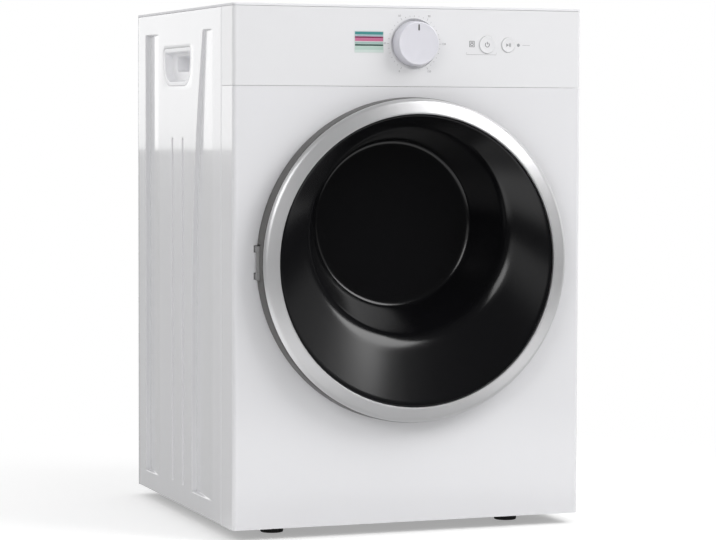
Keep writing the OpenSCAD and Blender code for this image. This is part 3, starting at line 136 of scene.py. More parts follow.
def addRamp(tree, value, start, end, low, high):
    return addNode(tree, "ShaderNodeMapRange", {
        "Value": value, "From Min": start, "From Max": end, "To Min": low, "To Max": high},
        interpolation_type="SMOOTHSTEP")


def partOf(tree, vector, axis):
    return addNode(tree, "ShaderNodeSeparateXYZ", {0: vector}, axis)


def mixShaders(tree, factor, first, second):
    return addNode(tree, "ShaderNodeMixShader", {0: factor, 1: first, 2: second})


def addSocket(tree, label, kind, way="INPUT"):
    return tree.interface.new_socket(name=label, in_out=way, socket_type="NodeSocket" + kind)


def addInputs(tree, inputs):
    for label, value in inputs.items():
        kind = {int: "Int", float: "Float"}.get(type(value)) or {3: "Vector", 4: "Color"}[len(value)]
        addSocket(tree, label, kind).default_value = value


# studio: pale floor, white surroundings and soft lamps; ranges are where a change starts and ends
studio = {
    "floorSize": 100.0,  # metres
    "floorColour": 0.80,
    "floorLift": 0.35,  # lift to white where the camera sees it
    "white": (0.42, 1.15),  # distances over which it turns to plain white
    "softLight": 0.57,  # light from all round
    "turn": (-0.15, 0.25),  # where its dark front turns into its white back
    "infront": 0.06,  # what glossy surfaces see in front of the object
    "behind": 1.0,  # and behind it
    "glows": (  # soft patches in front: direction, cosine at edge and middle, strength
        ((0.78, -0.55, 0.26), 0.93, 0.99, 0.40),
        ((-0.62, -0.77, 0.08), 0.88, 0.99, 0.70)),
    "floorFoot": 0.30,  # the floor as glossy surfaces see it: at the foot, a painted shade of the object
    "foot": (0.55, 0.85),
    "floorNear": 1.0,  # a step further in front
    "near": (1.2, 2.4),
    "floorFar": 0.03,  # far in front
    "floorBehind": 0.50,  # beside the object and behind it
    "beside": (-0.6, -0.2),
    "patch": (-0.75, -0.40, 0),  # and on a painted patch of light left of the object
    "paintedPatchReach": (0.20, 0.60),
    "paintedPatchLight": 1.3,
}
lamps = (
    # name, place, aimed at, width, height, watts
    ("keyLamp", (2.6, -2.3, 3.0), (0, -0.1, 0.45), 2.5, 2.5, 103),
    ("fillLamp", (-2.6, -2.7, 2.2), (0, -0.1, 0.35), 1.6, 1.6, 28),
    ("topLamp", (0, 0.6, 3.0), (0, 0, 0.4), 2.4, 2.0, 8),
    ("backLamp", (-1.25, 3.1, 1.72), (-0.3, 0, 0.75), 2.6, 2.4, 8.5),
)


def light(tree, strength, kind="ShaderNodeEmission"):
    return addNode(tree, kind, {"Color": (1, 1, 1, 1), "Strength": strength})


def splitRays(tree, seen, mirrored, others):
    # what the camera or glass sees, what glossy surfaces mirror, and what lights the object
    rays = tree.nodes.new("ShaderNodeLightPath").outputs
    straight = addMath(tree, "MAXIMUM", rays["Is Camera Ray"], rays["Is Transmission Ray"])
    return mixShaders(tree, straight, mixShaders(tree, rays["Is Glossy Ray"], others, mirrored), seen)


def addWorld(s):
    world = bpy.data.worlds.new("studio")
    scene.world = world
    world.use_nodes = True
    tree = world.node_tree
    tree.nodes.clear()
    way = addNode(tree, "ShaderNodeTexCoord", out="Generated")
    total = addRamp(tree, partOf(tree, way, "Y"), *s["turn"], s["infront"], s["behind"])
    for direction, edge, middle, strength in s["glows"]:
        turned = addVector(tree, "DOT_PRODUCT", {0: way, 1: Vector(direction).normalized()}, "Value")
        total = addMath(tree, "MAXIMUM", total, addRamp(tree, turned, edge, middle, 0, strength))
    lights = [light(tree, strength, "ShaderNodeBackground") for strength in (1.0, total, s["softLight"])]
    addNode(tree, "ShaderNodeOutputWorld", {0: splitRays(tree, *lights)})


def addFloor(s):
    half = s["floorSize"] / 2
    mesh = bpy.data.meshes.new("studioFloor")
    corners = [(-half, -half, 0), (half, -half, 0), (half, half, 0), (-half, half, 0)]
    mesh.from_pydata(corners, [], [(0, 1, 2, 3)])
    floor = link(mesh, "studioFloor")
    m = bpy.data.materials.new("studioFloor")
    m.use_nodes = True
    tree = m.node_tree
    tree.nodes.clear()
    place = addNode(tree, "ShaderNodeTexCoord", out="Object")
    reach = addVector(tree, "LENGTH", {0: place}, "Value")
    matt = addNode(tree, "ShaderNodeBsdfDiffuse", {"Color": (s["floorColour"],) * 3 + (1,)})
    lifted = addNode(tree, "ShaderNodeAddShader", {0: matt, 1: light(tree, s["floorLift"])})
    seen = mixShaders(tree, addRamp(tree, reach, *s["white"], 0, 1), lifted, light(tree, 1.0))
    # what glossy surfaces see of the floor is painted light and shade: dark at the object's foot, bright a
    # step further out, dark far away
    gloss = addRamp(tree, reach, *s["foot"], s["floorFoot"], s["floorNear"])
    gloss = addRamp(tree, reach, *s["near"], gloss, s["floorFar"])
    gloss = addRamp(tree, partOf(tree, place, "Y"), *s["beside"], gloss, s["floorBehind"])
    # a painted pool of light on the floor left of the object, seen only in reflections
    fromPaintedPatch = addVector(tree, "DISTANCE", {0: place, 1: s["patch"]}, "Value")
    gloss = addRamp(tree, fromPaintedPatch, *s["paintedPatchReach"], s["paintedPatchLight"], gloss)
    addNode(tree, "ShaderNodeOutputMaterial", {0: splitRays(tree, seen, light(tree, gloss), matt)})
    mesh.materials.append(m)


def addLamps(rows):
    for name, place, aim, width, height, watts in rows:
        data = bpy.data.lights.new(name, "AREA")
        data.shape = "RECTANGLE"
        data.size, data.size_y = width, height
        data.energy = watts
        lamp = link(data, name)
        lamp.location = place
        lamp.rotation_euler = (Vector(aim) - Vector(place)).to_track_quat("-Z", "Y").to_euler()


addCamera(camera)
addWorld(studio)
addFloor(studio)
addLamps(lamps)
scene.view_settings.view_transform = "Standard"
print("stage: camera, floor and lamps")


# shader groups: each puts out a colour, a roughness and a height, and the materials hold the shaders

def newGroup(name, inputs):
    group = bpy.data.node_groups.new(name, "ShaderNodeTree")
    addInputs(group, inputs)
    for label, kind in (("Colour", "Color"), ("Roughness", "Float"), ("Height", "Float")):
        addSocket(group, label, kind, "OUTPUT")
    return group, group.nodes.new("NodeGroupInput").outputs


def closeGroup(group, given, pattern, spots, cloud, height):
    # the pattern swings the tone, and spots and cloud swing the gloss, each round its plain value
    swing = addMath(group, "MULTIPLY_ADD", addMath(group, "SUBTRACT", pattern, 0.5), given["Tone"], 1.0)
    smear = addMath(group, "SUBTRACT", addMath(group, "ADD", spots, cloud), 1.0)
    addNode(group, "NodeGroupOutput", {
        "Colour": addVector(group, "SCALE", {0: given["Colour"], "Scale": swing}),
        "Roughness": addMath(group, "MULTIPLY_ADD", smear, given["Smudge"], given["Roughness"]),
        "Height": height})
    return group


def addNoise(tree, vector, scale, detail=3.0, roughness=0.55):
    return addNode(tree, "ShaderNodeTexNoise", {
        "Vector": vector, "Scale": scale, "Detail": detail, "Roughness": roughness})


def objectSpace(tree, stretch=None):
    place = addNode(tree, "ShaderNodeTexCoord", out="Object")
    return addNode(tree, "ShaderNodeMapping", {"Vector": place, "Scale": stretch}) if stretch else place


# Mottle: soft unevenness of tone and gloss, with fine grain and slow waves in the height
def makeMottleGroup():
    group, given = newGroup("surfaceMottle", {
        "Colour": (0.8, 0.8, 0.8, 1), "Tone": 0.03, "Patch": 9.0, "Roughness": 0.4, "Smudge": 0.06,
        "Grain": 900.0, "Waviness": 0.0})
    where = objectSpace(group)
    broad, middle = addNoise(group, where, given["Patch"], 4.0), addNoise(group, where, 60.0)
    swell, fine = addNoise(group, where, 4.5, 1.0), addNoise(group, where, given["Grain"], 2.0)
    height = addMath(group, "MULTIPLY_ADD", swell, given["Waviness"], fine)
    return closeGroup(group, given, broad, middle, broad, height)


# Brush: fine lines along one direction, for rolled and brushed sheet
def makeBrushGroup():
    group, given = newGroup("brushedLines", {
        "Vector": (0, 0, 0), "Colour": (0.7, 0.7, 0.7, 1), "Tone": 0.12, "Roughness": 0.3, "Smudge": 0.1,
        "Lines": 60.0})
    lines = addNoise(group, given["Vector"], given["Lines"], 5.0, 0.7)
    return closeGroup(group, given, lines, lines, addNoise(group, objectSpace(group), 11.0), lines)


# Spangle: the crystal patches of zinc-coated sheet
def makeSpangleGroup():
    group, given = newGroup("zincSpangle", {
        "Colour": (0.66, 0.67, 0.68, 1), "Tone": 0.2, "Patch": 130.0, "Roughness": 0.3, "Smudge": 0.1})
    where = objectSpace(group)
    cells = addNode(group, "ShaderNodeTexVoronoi", {"Vector": where, "Scale": given["Patch"]}, "Color")
    red, green = addNode(group, "ShaderNodeSeparateColor", {0: cells}).node.outputs[:2]
    cloud, grain = addNoise(group, where, 14.0), addNoise(group, where, 700.0, 2.0)
    return closeGroup(group, given, red, green, cloud, grain)


mottle, brush, spangle = makeMottleGroup(), makeBrushGroup(), makeSpangleGroup()


def makeFinish(name, group, colour, tone, roughness, smudge, bump, depth, stretch=None, **more):
    # the bump's depth is in mm; more sets the group's other inputs and constants of the shader
    m = bpy.data.materials.new(name)
    m.use_nodes = True
    tree = m.node_tree
    shader = tree.nodes["Principled BSDF"].inputs
    pattern = addNode(tree, "ShaderNodeGroup", node_tree=group).node
    more.update(Colour=tuple(colour) + (1,), Tone=tone, Roughness=roughness, Smudge=smudge)
    for key, value in more.items():
        inputs = pattern.inputs if key in pattern.inputs else shader
        inputs[key.replace("_", " ")].default_value = value
    if stretch:
        feed(tree, pattern.inputs["Vector"], objectSpace(tree, stretch))
    feed(tree, shader["Base Color"], pattern.outputs["Colour"])
    feed(tree, shader["Roughness"], pattern.outputs["Roughness"])
    feed(tree, shader["Normal"], addNode(tree, "ShaderNodeBump", {
        "Strength": bump, "Distance": depth * mm, "Height": pattern.outputs["Height"]}))
    return m


def mottled(name, colour, tone, roughness, smudge, patch, grain, bump, depth, **more):
    return makeFinish(name, mottle, colour, tone, roughness, smudge, bump, depth,
                      Patch=patch, Grain=grain, **more)


# a finish for each material slot
finishes = {
    "white_enamel": mottled("whiteEnamel", (0.78, 0.78, 0.8), 0.012, 0.24, 0.05, 5, 420, 0.25, 0.1,
        Waviness=160, Coat_Weight=1.0, Coat_Roughness=0.05),
    "white_plastic": mottled("whitePlastic", (0.78, 0.78, 0.795), 0.01, 0.22, 0.04, 6, 700, 0.03, 0.1,
        Coat_Weight=0.5, Coat_Roughness=0.08),
    "cup_plastic": mottled("cupPlastic", (0.9, 0.9, 0.92), 0.02, 0.36, 0.06, 20, 1500, 0.1, 0.2,
        Coat_Weight=0.4, Coat_Roughness=0.15),
    "galvanised": makeFinish("galvanisedSheet", spangle, (0.64, 0.65, 0.66), 0.24, 0.33, 0.16, 0.1, 0.2,
        Metallic=1.0),
    "zinc_part": mottled("zincPlated", (0.58, 0.58, 0.57), 0.12, 0.34, 0.14, 40, 900, 0.1, 0.2, Metallic=1.0),
    "dark_tray": mottled("darkTray", (0.045, 0.045, 0.048), 0.1, 0.52, 0.1, 12, 1300, 0.35, 0.3),
    "foot_rubber": mottled("footRubber", (0.022, 0.022, 0.022), 0.25, 0.66, 0.12, 60, 1500, 0.35, 0.3),
    "bezel_silver": mottled("bezelSilver", (0.66, 0.66, 0.67), 0.03, 0.33, 0.05, 30, 2600, 0.04, 0.1,
        Metallic=0.62),
    "dish_black": mottled("dishBlack", (0.0035, 0.0035, 0.0042), 0.05, 0.19, 0.03, 9, 60, 0.01, 0.1),
    "frame_white": mottled("innerFrameWhite", (0.74, 0.74, 0.75), 0.02, 0.42, 0.06, 12, 1600, 0.15, 0.2),
    "seal_grey": mottled("sealRubber", (0.085, 0.085, 0.09), 0.12, 0.6, 0.1, 30, 1400, 0.25, 0.3),
    "felt": mottled("woolFelt", (0.5, 0.42, 0.3), 0.35, 0.92, 0.08, 160, 2200, 0.8, 0.8, Sheen_Weight=0.4),
    "drum_steel": makeFinish("drumSteel", brush, (0.6, 0.61, 0.62), 0.14, 0.3, 0.16, 0.12, 0.2,
        stretch=(1, 40, 1), Lines=14, Metallic=1.0),
    "lifter_grey": mottled("lifterPlastic", (0.48, 0.48, 0.49), 0.03, 0.4, 0.07, 14, 1400, 0.15, 0.2),
    "duct_grey": mottled("ductPlastic", (0.33, 0.34, 0.35), 0.05, 0.46, 0.08, 10, 1200, 0.2, 0.3),
    "heater_metal": makeFinish("heaterFins", brush, (0.55, 0.53, 0.5), 0.25, 0.4, 0.2, 0.1, 0.2,
        stretch=(20, 1, 1), Lines=30, Metallic=1.0),
    "black_plastic": mottled("blackPlastic", (0.016, 0.016, 0.018), 0.15, 0.46, 0.1, 26, 1500, 0.25, 0.3),
    "motor_paint": makeFinish("motorPaint", brush, (0.09, 0.095, 0.105), 0.25, 0.45, 0.15, 0.3, 0.4,
        stretch=(1, 120, 1), Lines=10, Metallic=0.4),
    "belt_rubber": makeFinish("beltRubber", brush, (0.02, 0.02, 0.02), 0.3, 0.6, 0.12, 0.6, 0.6,
        stretch=(1, 90, 1), Lines=10),
    "pulley_white": mottled("whiteNylon", (0.66, 0.66, 0.63), 0.04, 0.42, 0.07, 30, 1200, 0.12, 0.2),
    "knob_silver": mottled("knobSilver", (0.76, 0.755, 0.81), 0.02, 0.32, 0.04, 30, 2400, 0.04, 0.1,
        Metallic=0.12),
    "board_green": mottled("boardGreen", (0.015, 0.11, 0.04), 0.2, 0.35, 0.1, 90, 600, 0.2, 0.3),
    "lamp_lens": mottled("lampLens", (0.62, 0.64, 0.66), 0.04, 0.12, 0.03, 80, 900, 0.03, 0.1,
        Transmission_Weight=0.5),
    "bronze": mottled("sinteredBronze", (0.42, 0.29, 0.13), 0.3, 0.44, 0.12, 300, 1800, 0.4, 0.3,
        Metallic=1.0),
}
hingeGrey = mottled("hingeGrey", (0.26, 0.26, 0.26), 0.15, 0.36, 0.1, 60, 1300, 0.1, 0.2, Metallic=0.3)
coverSatin = mottled("coverSatin", (0.78, 0.78, 0.8), 0.015, 0.48, 0.05, 6, 700, 0.3, 0.2,
    Specular_IOR_Level=0.3)
darkBand = mottled("doorBandDark", (0.085, 0.083, 0.080), 0.06, 0.38, 0.06, 20, 1500, 0.06, 0.1)
printGrey = mottled("printGrey", (0.30, 0.30, 0.31), 0.05, 0.5, 0.05, 200, 3000, 0.02, 0.1)
printDark = mottled("printDark", (0.10, 0.10, 0.105), 0.05, 0.5, 0.05, 200, 3000, 0.02, 0.1)
chartPrint = mottled("chartPrint", (0.8, 0.8, 0.8), 0.05, 0.34, 0.05, 120, 2500, 0.03, 0.1)

# a quiet grey paint for the hinge, and satin for the cover
special = {"door_hinge_" + part: hingeGrey for part in ("bracket", "pin", "strap")}
special["top_cover"] = coverSatin
for name, obj in nodes.items():
    slot = obj.data.materials[0].name.split(".")[0]
    obj.data.materials[0] = special.get(name, finishes[slot])
print("stage: finishes on the frame")


# helpers for outlines, lofts and fills

def spread(*marks):
    # positions with the number of steps between them; gives one run of numbers
    run = [marks[0]]
    for start, steps, end in zip(marks[::2], marks[1::2], marks[2::2]):
        run += [start + (end - start) * (i + 1) / steps for i in range(steps)]
    return run


def arcPoints(middle, radius, start, end, steps):
    angles = [radians(start + (end - start) * i / steps) for i in range(steps + 1)]
    return [(middle[0] + radius * cos(a), middle[1] + radius * sin(a)) for a in angles]


def roundedLoop(x0, x1, z0, z1, upper, lower, steps):
    # a box outline with rounded corners, from its upper right one on
    return (arcPoints((x1 - upper, z1 - upper), upper, 0, 90, steps)
            + arcPoints((x0 + upper, z1 - upper), upper, 90, 180, steps)
            + arcPoints((x0 + lower, z0 + lower), lower, 180, 270, steps)
            + arcPoints((x1 - lower, z0 + lower), lower, 270, 360, steps))


def bendBetween(a, b, c, reach, steps):
    # a quadratic bend round b, starting and ending so far from it
    p, q = b + (a - b).normalized() * reach, b + (c - b).normalized() * reach
    return [(p.lerp(b, t)).lerp(b.lerp(q, t), t) for t in (i / steps for i in range(steps + 1))]


def smoothBend(points, steps):
    # rounds an outline's inner corners
    run = [points[0]]
    for a, b, c in zip(points, points[1:], points[2:]):
        a, b, c = Vector(a), Vector(b), Vector(c)
        reach = min((a - b).length, (c - b).length) * bendShare
        run += [tuple(p) for p in bendBetween(a, b, c, reach, steps)]
    return run + [points[-1]]


def joinLoops(bm, loops):
    # quads from each closed loop of vertices to the next
    for a, b in zip(loops, loops[1:]):
        for k in range(len(a)):
            n = (k + 1) % len(a)
            bm.faces.new((a[k], a[n], b[n], b[k]))


def sweepRings(bm, rings, sides, carve=None):
    # a ring is (radius, how far it stands in front of the cabinet, x and z of its middle), mm
    loops = []
    for radius, proud, cx, cz in rings:
        loop = []
        for k in range(sides):
            a = 2 * pi * k / sides
            x, z = cx + radius * cos(a), cz + radius * sin(a)
            if carve:
                x = carve(x, proud, z)
            loop.append(bm.verts.new((x * mm, frontY - proud * mm, z * mm)))
        loops.append(loop)
    joinLoops(bm, loops)
    return loops


def turnOutline(bm, outline, d, carve=None):
    sweepRings(bm, [(radius, proud, *d["middle"]) for radius, proud in outline], d["sides"], carve)


def fillBetween(bm, *loops):
    # flat fill between closed loops of vertices
    edges = []
    for loop in loops:
        for a, b in zip(loop, loop[1:] + loop[:1]):
            edges.append(bm.edges.get((a, b)) or bm.edges.new((a, b)))
    bmesh.ops.triangle_fill(bm, edges=edges, use_beauty=True)


def meshOf(bm, name, degrees=35):
    bmesh.ops.remove_doubles(bm, verts=bm.verts, dist=weld)
    bmesh.ops.dissolve_degenerate(bm, edges=bm.edges, dist=weld)
    bmesh.ops.delete(bm, geom=[v for v in bm.verts if not v.link_faces], context="VERTS")
    bmesh.ops.recalc_face_normals(bm, faces=bm.faces)
    mesh = bpy.data.meshes.new(name)
    bm.to_mesh(mesh)
    bm.free()
    shadeSmooth(mesh, degrees)
    return mesh


def pieceOf(bm, name):
    return link(meshOf(bm, name), name)


def plainMesh(obj):
    bpy.context.view_layer.update()
    return bpy.data.meshes.new_from_object(obj.evaluated_get(bpy.context.evaluated_depsgraph_get()))


def makePlain(obj):
    done = plainMesh(obj)
    obj.modifiers.clear()
    obj.data = done
    return obj


def thicken(mesh, thickness):
    # an open sheet gets its wall on the side away from its normals
    obj = link(mesh, mesh.name)
    wall = obj.modifiers.new("wall", "SOLIDIFY")
    wall.thickness = thickness * mm
    wall.use_even_offset = True
    return makePlain(obj)


# side panels: pressed sheet with two wedges, two grooves and the cup's seat; distances in mm from the front
sidePanel = {
    "front": 60.5, "rear": 553.8, "low": 18.0, "top": 841.5,
    "wedges": ((111, 225, 63), (426, 506, 0)),  # where it starts, its deep edge, how far that curves in
    "wedgeLow": 50, "wedgeTop": 807, "wedgeBend": 330, "wedgeDepth": 8.0,
    "grooves": (279, 340), "grooveLow": 52, "grooveTop": 633, "grooveWidth": 10, "grooveDepth": 3.0,
    "grooveSlope": 0.3, "grooveEnd": 6,  # share of its width at each side, and length at each end
    "step": 3.0,  # width of a pressed step
    "stepSpare": 0.7, "grooveSpare": 0.5,  # how far the fine mesh goes past a step and a groove
    "cupFine": 8, "cupHole": 6,  # and past the cup; the sheet is left out this far round it
    "edge": 1.6, "flange": 12.0, "lowFlange": 5.6, "sheet": 1.2,
}
handleCup = {
    "front": 230, "rear": 391, "low": 719, "top": 782, "topRound": 10, "lowRound": 40, "clearance": 0.25,
    "seat": 1.5, "rim": 7.0, "sunk": 0.02, "depth": 13.0, "wall": 1.6, "leastRound": 1.0,
    "bendSteps": 14, "pocketSteps": 6,
    "pocketWidth": 88, "pocketHeight": 26, "pocketDrop": 13, "pocketRound": 6, "pocketDepth": 27,
}


def ramp(t):
    t = min(max(t, 0.0), 1.0)
    return t * t * (3 - 2 * t)


def wedgeEdge(s, deep, curve, z):
    return deep - curve * (max(0, z - s["wedgeBend"]) / (s["wedgeTop"] - s["wedgeBend"])) ** 2


def pressedDepth(s, q, z):
    depth, half = 0.0, s["step"] / 2
    ends = ramp((z - s["wedgeLow"] + half) / s["step"]) * ramp((s["wedgeTop"] + half - z) / s["step"])
    for fade, deep, curve in s["wedges"]:
        plane = s["wedgeDepth"] * (q - fade) / (deep - fade)
        side = ramp((wedgeEdge(s, deep, curve, z) + half - q) / s["step"])
        depth = max(depth, plane * side * ends)
    for middle in s["grooves"]:
        across = ramp((s["grooveWidth"] / 2 - abs(q - middle)) / (s["grooveWidth"] * s["grooveSlope"]))
        along = ramp((z - s["grooveLow"]) / s["grooveEnd"]) * ramp((s["grooveTop"] - z) / s["grooveEnd"])
        depth = max(depth, s["grooveDepth"] * across * along)
    return depth


def withEdges(s, flat, start, startFlange, end):
    # positions with their insets: the flat ones between the sheet's rolled edges and flanges
    r = s["edge"]
    bend = [(r * (1 - sin(a)), r * (1 - cos(a))) for a in (radians(22.5 * i) for i in range(1, 5))]
    return ([(start, startFlange)] + [(start + out, inset) for out, inset in bend[::-1]]
            + [(p, 0.0) for p in flat] + [(end - out, inset) for out, inset in bend] + [(end, s["flange"])])


def cupLoop(c, grow):
    # D outline of the cup in (distance from the front, height), grown by so many mm
    return roundedLoop(c["front"] - grow, c["rear"] + grow, c["low"] - grow, c["top"] + grow,
                       max(c["topRound"] + grow, c["leastRound"]), max(c["lowRound"] + grow, c["leastRound"]),
                       c["bendSteps"])


def pocketLoop(c, grow):
    middle, half = (c["front"] + c["rear"]) / 2, c["pocketWidth"] / 2 + grow
    top = c["top"] - c["pocketDrop"]
    low = top - c["pocketHeight"]
    r = max(c["pocketRound"] + grow, c["leastRound"])
    return roundedLoop(middle - half, middle + half, low - grow, top + grow, r, r, c["pocketSteps"])


def sidePoint(q, z, inset, side):
    return (side * (sideX - inset * mm), frontY + q * mm, z * mm)


def addLoops(bm, outline, c, side, steps):
    # steps are (how far the outline grows, how deep it lies)
    loops = [[bm.verts.new(sidePoint(q, z, inset, side)) for q, z in outline(c, grow)]
             for grow, inset in steps]
    joinLoops(bm, loops)
    return loops[0], loops[-1]


def faceSideways(mesh, side, face):
    # an open sheet of the side has to look away from the cabinet's middle
    if face.normal.x * side < 0:
        mesh.flip_normals()
    return mesh


def sheetColumns(s, z):
    # distances from the front of the sheet's mesh lines at one height, with their insets
    half, gw = s["step"] / 2 + s["stepSpare"], s["grooveWidth"] / 2 + s["grooveSpare"]
    (fade1, deep1, curve1), (fade2, deep2, curve2) = s["wedges"]
    g1, g2 = s["grooves"]
    e1, e2 = wedgeEdge(s, deep1, curve1, z), wedgeEdge(s, deep2, curve2, z)
    flat = spread(s["front"] + s["edge"], 5, fade1, 12, e1 - half, 9, e1 + half, 8, g1 - gw, 18, g1 + gw, 5,
                  g2 - gw, 18, g2 + gw, 7, fade2, 10, e2 - half, 9, e2 + half, 5, s["rear"] - s["edge"])
    return withEdges(s, flat, s["front"], s["flange"], s["rear"])


def sheetRows(s, c):
    # heights of the sheet's mesh lines, with their insets
    half, end = s["step"] / 2 + s["stepSpare"], s["grooveEnd"] + 1
    w0, w1 = s["wedgeLow"], s["wedgeTop"]
    heights = spread(
        s["low"] + s["edge"], 4, w0 - half, 9, w0 + half, 6, s["grooveLow"] + end, 14, s["wedgeBend"], 26,
        s["grooveTop"] - end, 8, s["grooveTop"] + 1, 7, c["low"] - s["cupFine"], 8,
        c["top"] + s["cupFine"], 2, w1 - half, 9, w1 + half, 4, s["top"] - s["edge"])
    return withEdges(s, heights, s["low"], s["lowFlange"], s["top"])


def makeSidePanel(s, c, side, name):
    rows = sheetRows(s, c)
    low, top = s["low"] + s["edge"], s["top"] - s["edge"]
    bm = bmesh.new()
    grid = []
    for z, zInset in rows:
        line = []
        for q, qInset in sheetColumns(s, min(max(z, low), top)):
            inset = max(qInset, zInset, pressedDepth(s, q, z))
            if 0 < qInset <= s["edge"] and 0 < zInset <= s["edge"]:
                inset = qInset + zInset - qInset * zInset / s["edge"]
            line.append(bm.verts.new(sidePoint(q, z, inset, side)))
        grid.append(line)
    # the mesh lines round the cup bound the hole for its seat
    middleRow = sheetColumns(s, (c["low"] + c["top"]) / 2)
    left = max(i for i, (q, _) in enumerate(middleRow) if q < c["front"] - s["cupHole"])
    right = min(i for i, (q, _) in enumerate(middleRow) if q > c["rear"] + s["cupHole"])
    bottom = max(j for j, (z, _) in enumerate(rows) if z < c["low"] - s["cupHole"])
    upper = min(j for j, (z, _) in enumerate(rows) if z > c["top"] + s["cupHole"])
    for j in range(len(rows) - 1):
        for i in range(len(middleRow) - 1):
            if not (left <= i < right and bottom <= j < upper):
                bm.faces.new((grid[j][i], grid[j][i + 1], grid[j + 1][i + 1], grid[j + 1][i]))
    hole = ([grid[bottom][i] for i in range(left, right)] + [grid[j][right] for j in range(bottom, upper)]
            + [grid[upper][i] for i in range(right, left, -1)]
            + [grid[j][left] for j in range(upper, bottom, -1)])
    clear, seat = c["clearance"], c["seat"]
    seatEdge, _ = addLoops(bm, cupLoop, c, side, (
        (clear + 0.5, 0), (clear + 0.15, 0.15), (clear, 0.5), (clear, seat), (0.8 - c["rim"], seat)))
    fillBetween(bm, hole, seatEdge)
    mesh = meshOf(bm, name, 50)
    return thicken(faceSideways(mesh, side, max(mesh.polygons, key=lambda f: f.area)), s["sheet"])


def makeHandleCup(c, side, name):
    bm = bmesh.new()
    rim, depth, end = c["rim"], c["depth"], c["depth"] + c["pocketDepth"]
    _, bowl = addLoops(bm, cupLoop, c, side, (
        (0, c["seat"] - 0.1), (0, 0.7), (-0.2, 0.3), (-0.7, 0.08), (-1.2, c["sunk"]), (1.6 - rim, c["sunk"]),
        (0.8 - rim, 0.15), (0.25 - rim, 0.5), (-rim, 1.3), (-rim - 0.9, depth - 4.2),
        (-rim - 1.3, depth - 2.2), (-rim - 2.2, depth - 0.8), (-rim - 3.6, depth - 0.15), (-rim - 5.0, depth)))
    mouth, back = addLoops(bm, pocketLoop, c, side, (
        (1.6, depth), (0.9, depth + 0.15), (0.3, depth + 0.6), (0, depth + 1.6),
        (-0.8, end - 3), (-1.6, end - 1), (-3.2, end)))
    fillBetween(bm, bowl, mouth)
    bm.faces.new(back)
    mesh = meshOf(bm, name, 40)
    rimFace = min(mesh.polygons, key=lambda f: abs(abs(f.center.x) - sideX + c["sunk"] * mm))
    return thicken(faceSideways(mesh, side, rimFace), c["wall"])


bothSides = (("left", -1), ("right", 1))
for sideName, side in bothSides:
    panel = makeSidePanel(sidePanel, handleCup, side, sideName + "SideSheet")
    finishPiece(panel, "cabinet", "white_enamel", sideName + "_side_panel")
print("stage: side panels")

for sideName, side in bothSides:
    cup = makeHandleCup(handleCup, side, sideName + "HandleCup")
    finishPiece(cup, "cabinet", "cup_plastic", sideName + "_handle_cup")
print("stage: handle cups")


# door window: an eccentric dish that falls into a deep well, drawn as rings of one loft; mm
doorWindow = {
    "rimRadius": 230.6, "rimHeight": doorHeight, "rimProud": 36.0,
    "edgeRadius": 168, "edgeHeight": 482, "edgeProud": 3.0,
    "floorRadius": 135, "floorHeight": 496, "floorSunk": 83.0, "floorLoop": 60, "middleRadius": 6,
    "bend": 15.0, "floorBend": 8.0, "wall": 2.0, "sides": 256,
}


def makeDoorWindow(d, name):
    # a ring is (radius, height of its middle, distance behind the cabinet's front)
    rim = Vector((d["rimRadius"], d["rimHeight"], -d["rimProud"]))
    edge = Vector((d["edgeRadius"], d["edgeHeight"], -d["edgeProud"]))
    floor = Vector((d["floorRadius"], d["floorHeight"], d["floorSunk"]))
    inner = floor - Vector((d["floorLoop"], 0, 0))
    middle = Vector((d["middleRadius"], inner.y, inner.z))
    lip = [rim + Vector((out, 0, sunk)) for out, sunk in ((1.9, 2.0), (1.9, 0.9), (1.4, 0.2), (0.7, 0))]
    wellBend = bendBetween(rim, edge, floor, d["bend"], 10)
    floorBend = bendBetween(edge, floor, inner, d["floorBend"], 8)
    rings = (lip + [rim.lerp(wellBend[0], i / 12) for i in range(12)] + wellBend
             + [wellBend[-1].lerp(floorBend[0], i / 8) for i in range(1, 8)] + floorBend
             + [inner.lerp(middle, i / 4) for i in range(5)])
    bm = bmesh.new()
    loops = sweepRings(bm, [(radius, -sunk, 0, height) for radius, height, sunk in rings], d["sides"])
    bm.faces.new(loops[-1])
    mesh = meshOf(bm, name, 60)
    if mesh.polygons[-1].normal.y > 0:
        mesh.flip_normals()
    return thicken(mesh, d["wall"])


finishPiece(makeDoorWindow(doorWindow, "doorDish"), "door", "dish_black", "door_window")
print("stage: door window")


# geometry nodes for what repeats: screws on points, bars round a middle, and a wire screen

def newTree(name, inputs):
    tree = bpy.data.node_groups.new(name, "GeometryNodeTree")
    addSocket(tree, "Geometry", "Geometry")
    addInputs(tree, inputs)
    addSocket(tree, "Material", "Material")
    addSocket(tree, "Geometry", "Geometry", "OUTPUT")
    return tree, tree.nodes.new("NodeGroupInput").outputs


def closeTree(tree, given, instances):
    real = addNode(tree, "GeometryNodeRealizeInstances", {"Geometry": instances})
    painted = addNode(tree, "GeometryNodeSetMaterial", {"Geometry": real, "Material": given["Material"]})
    addNode(tree, "NodeGroupOutput", {0: painted})
    return tree


def vectorOf(tree, *parts):
    return addNode(tree, "ShaderNodeCombineXYZ", dict(enumerate(parts)))


def addCube(tree, *size):
    return addNode(tree, "GeometryNodeMeshCube", {"Size": vectorOf(tree, *size)})


def moved(tree, geometry, **by):
    return addNode(tree, "GeometryNodeTransform", {"Geometry": geometry} | by)


def toRotation(tree, angles):
    return addNode(tree, "FunctionNodeEulerToRotation", {"Euler": angles})


def onPoints(tree, mesh, instance, **more):
    points = addNode(tree, "GeometryNodeMeshToPoints", {"Mesh": mesh})
    return addNode(tree, "GeometryNodeInstanceOnPoints", {"Points": points, "Instance": instance} | more)


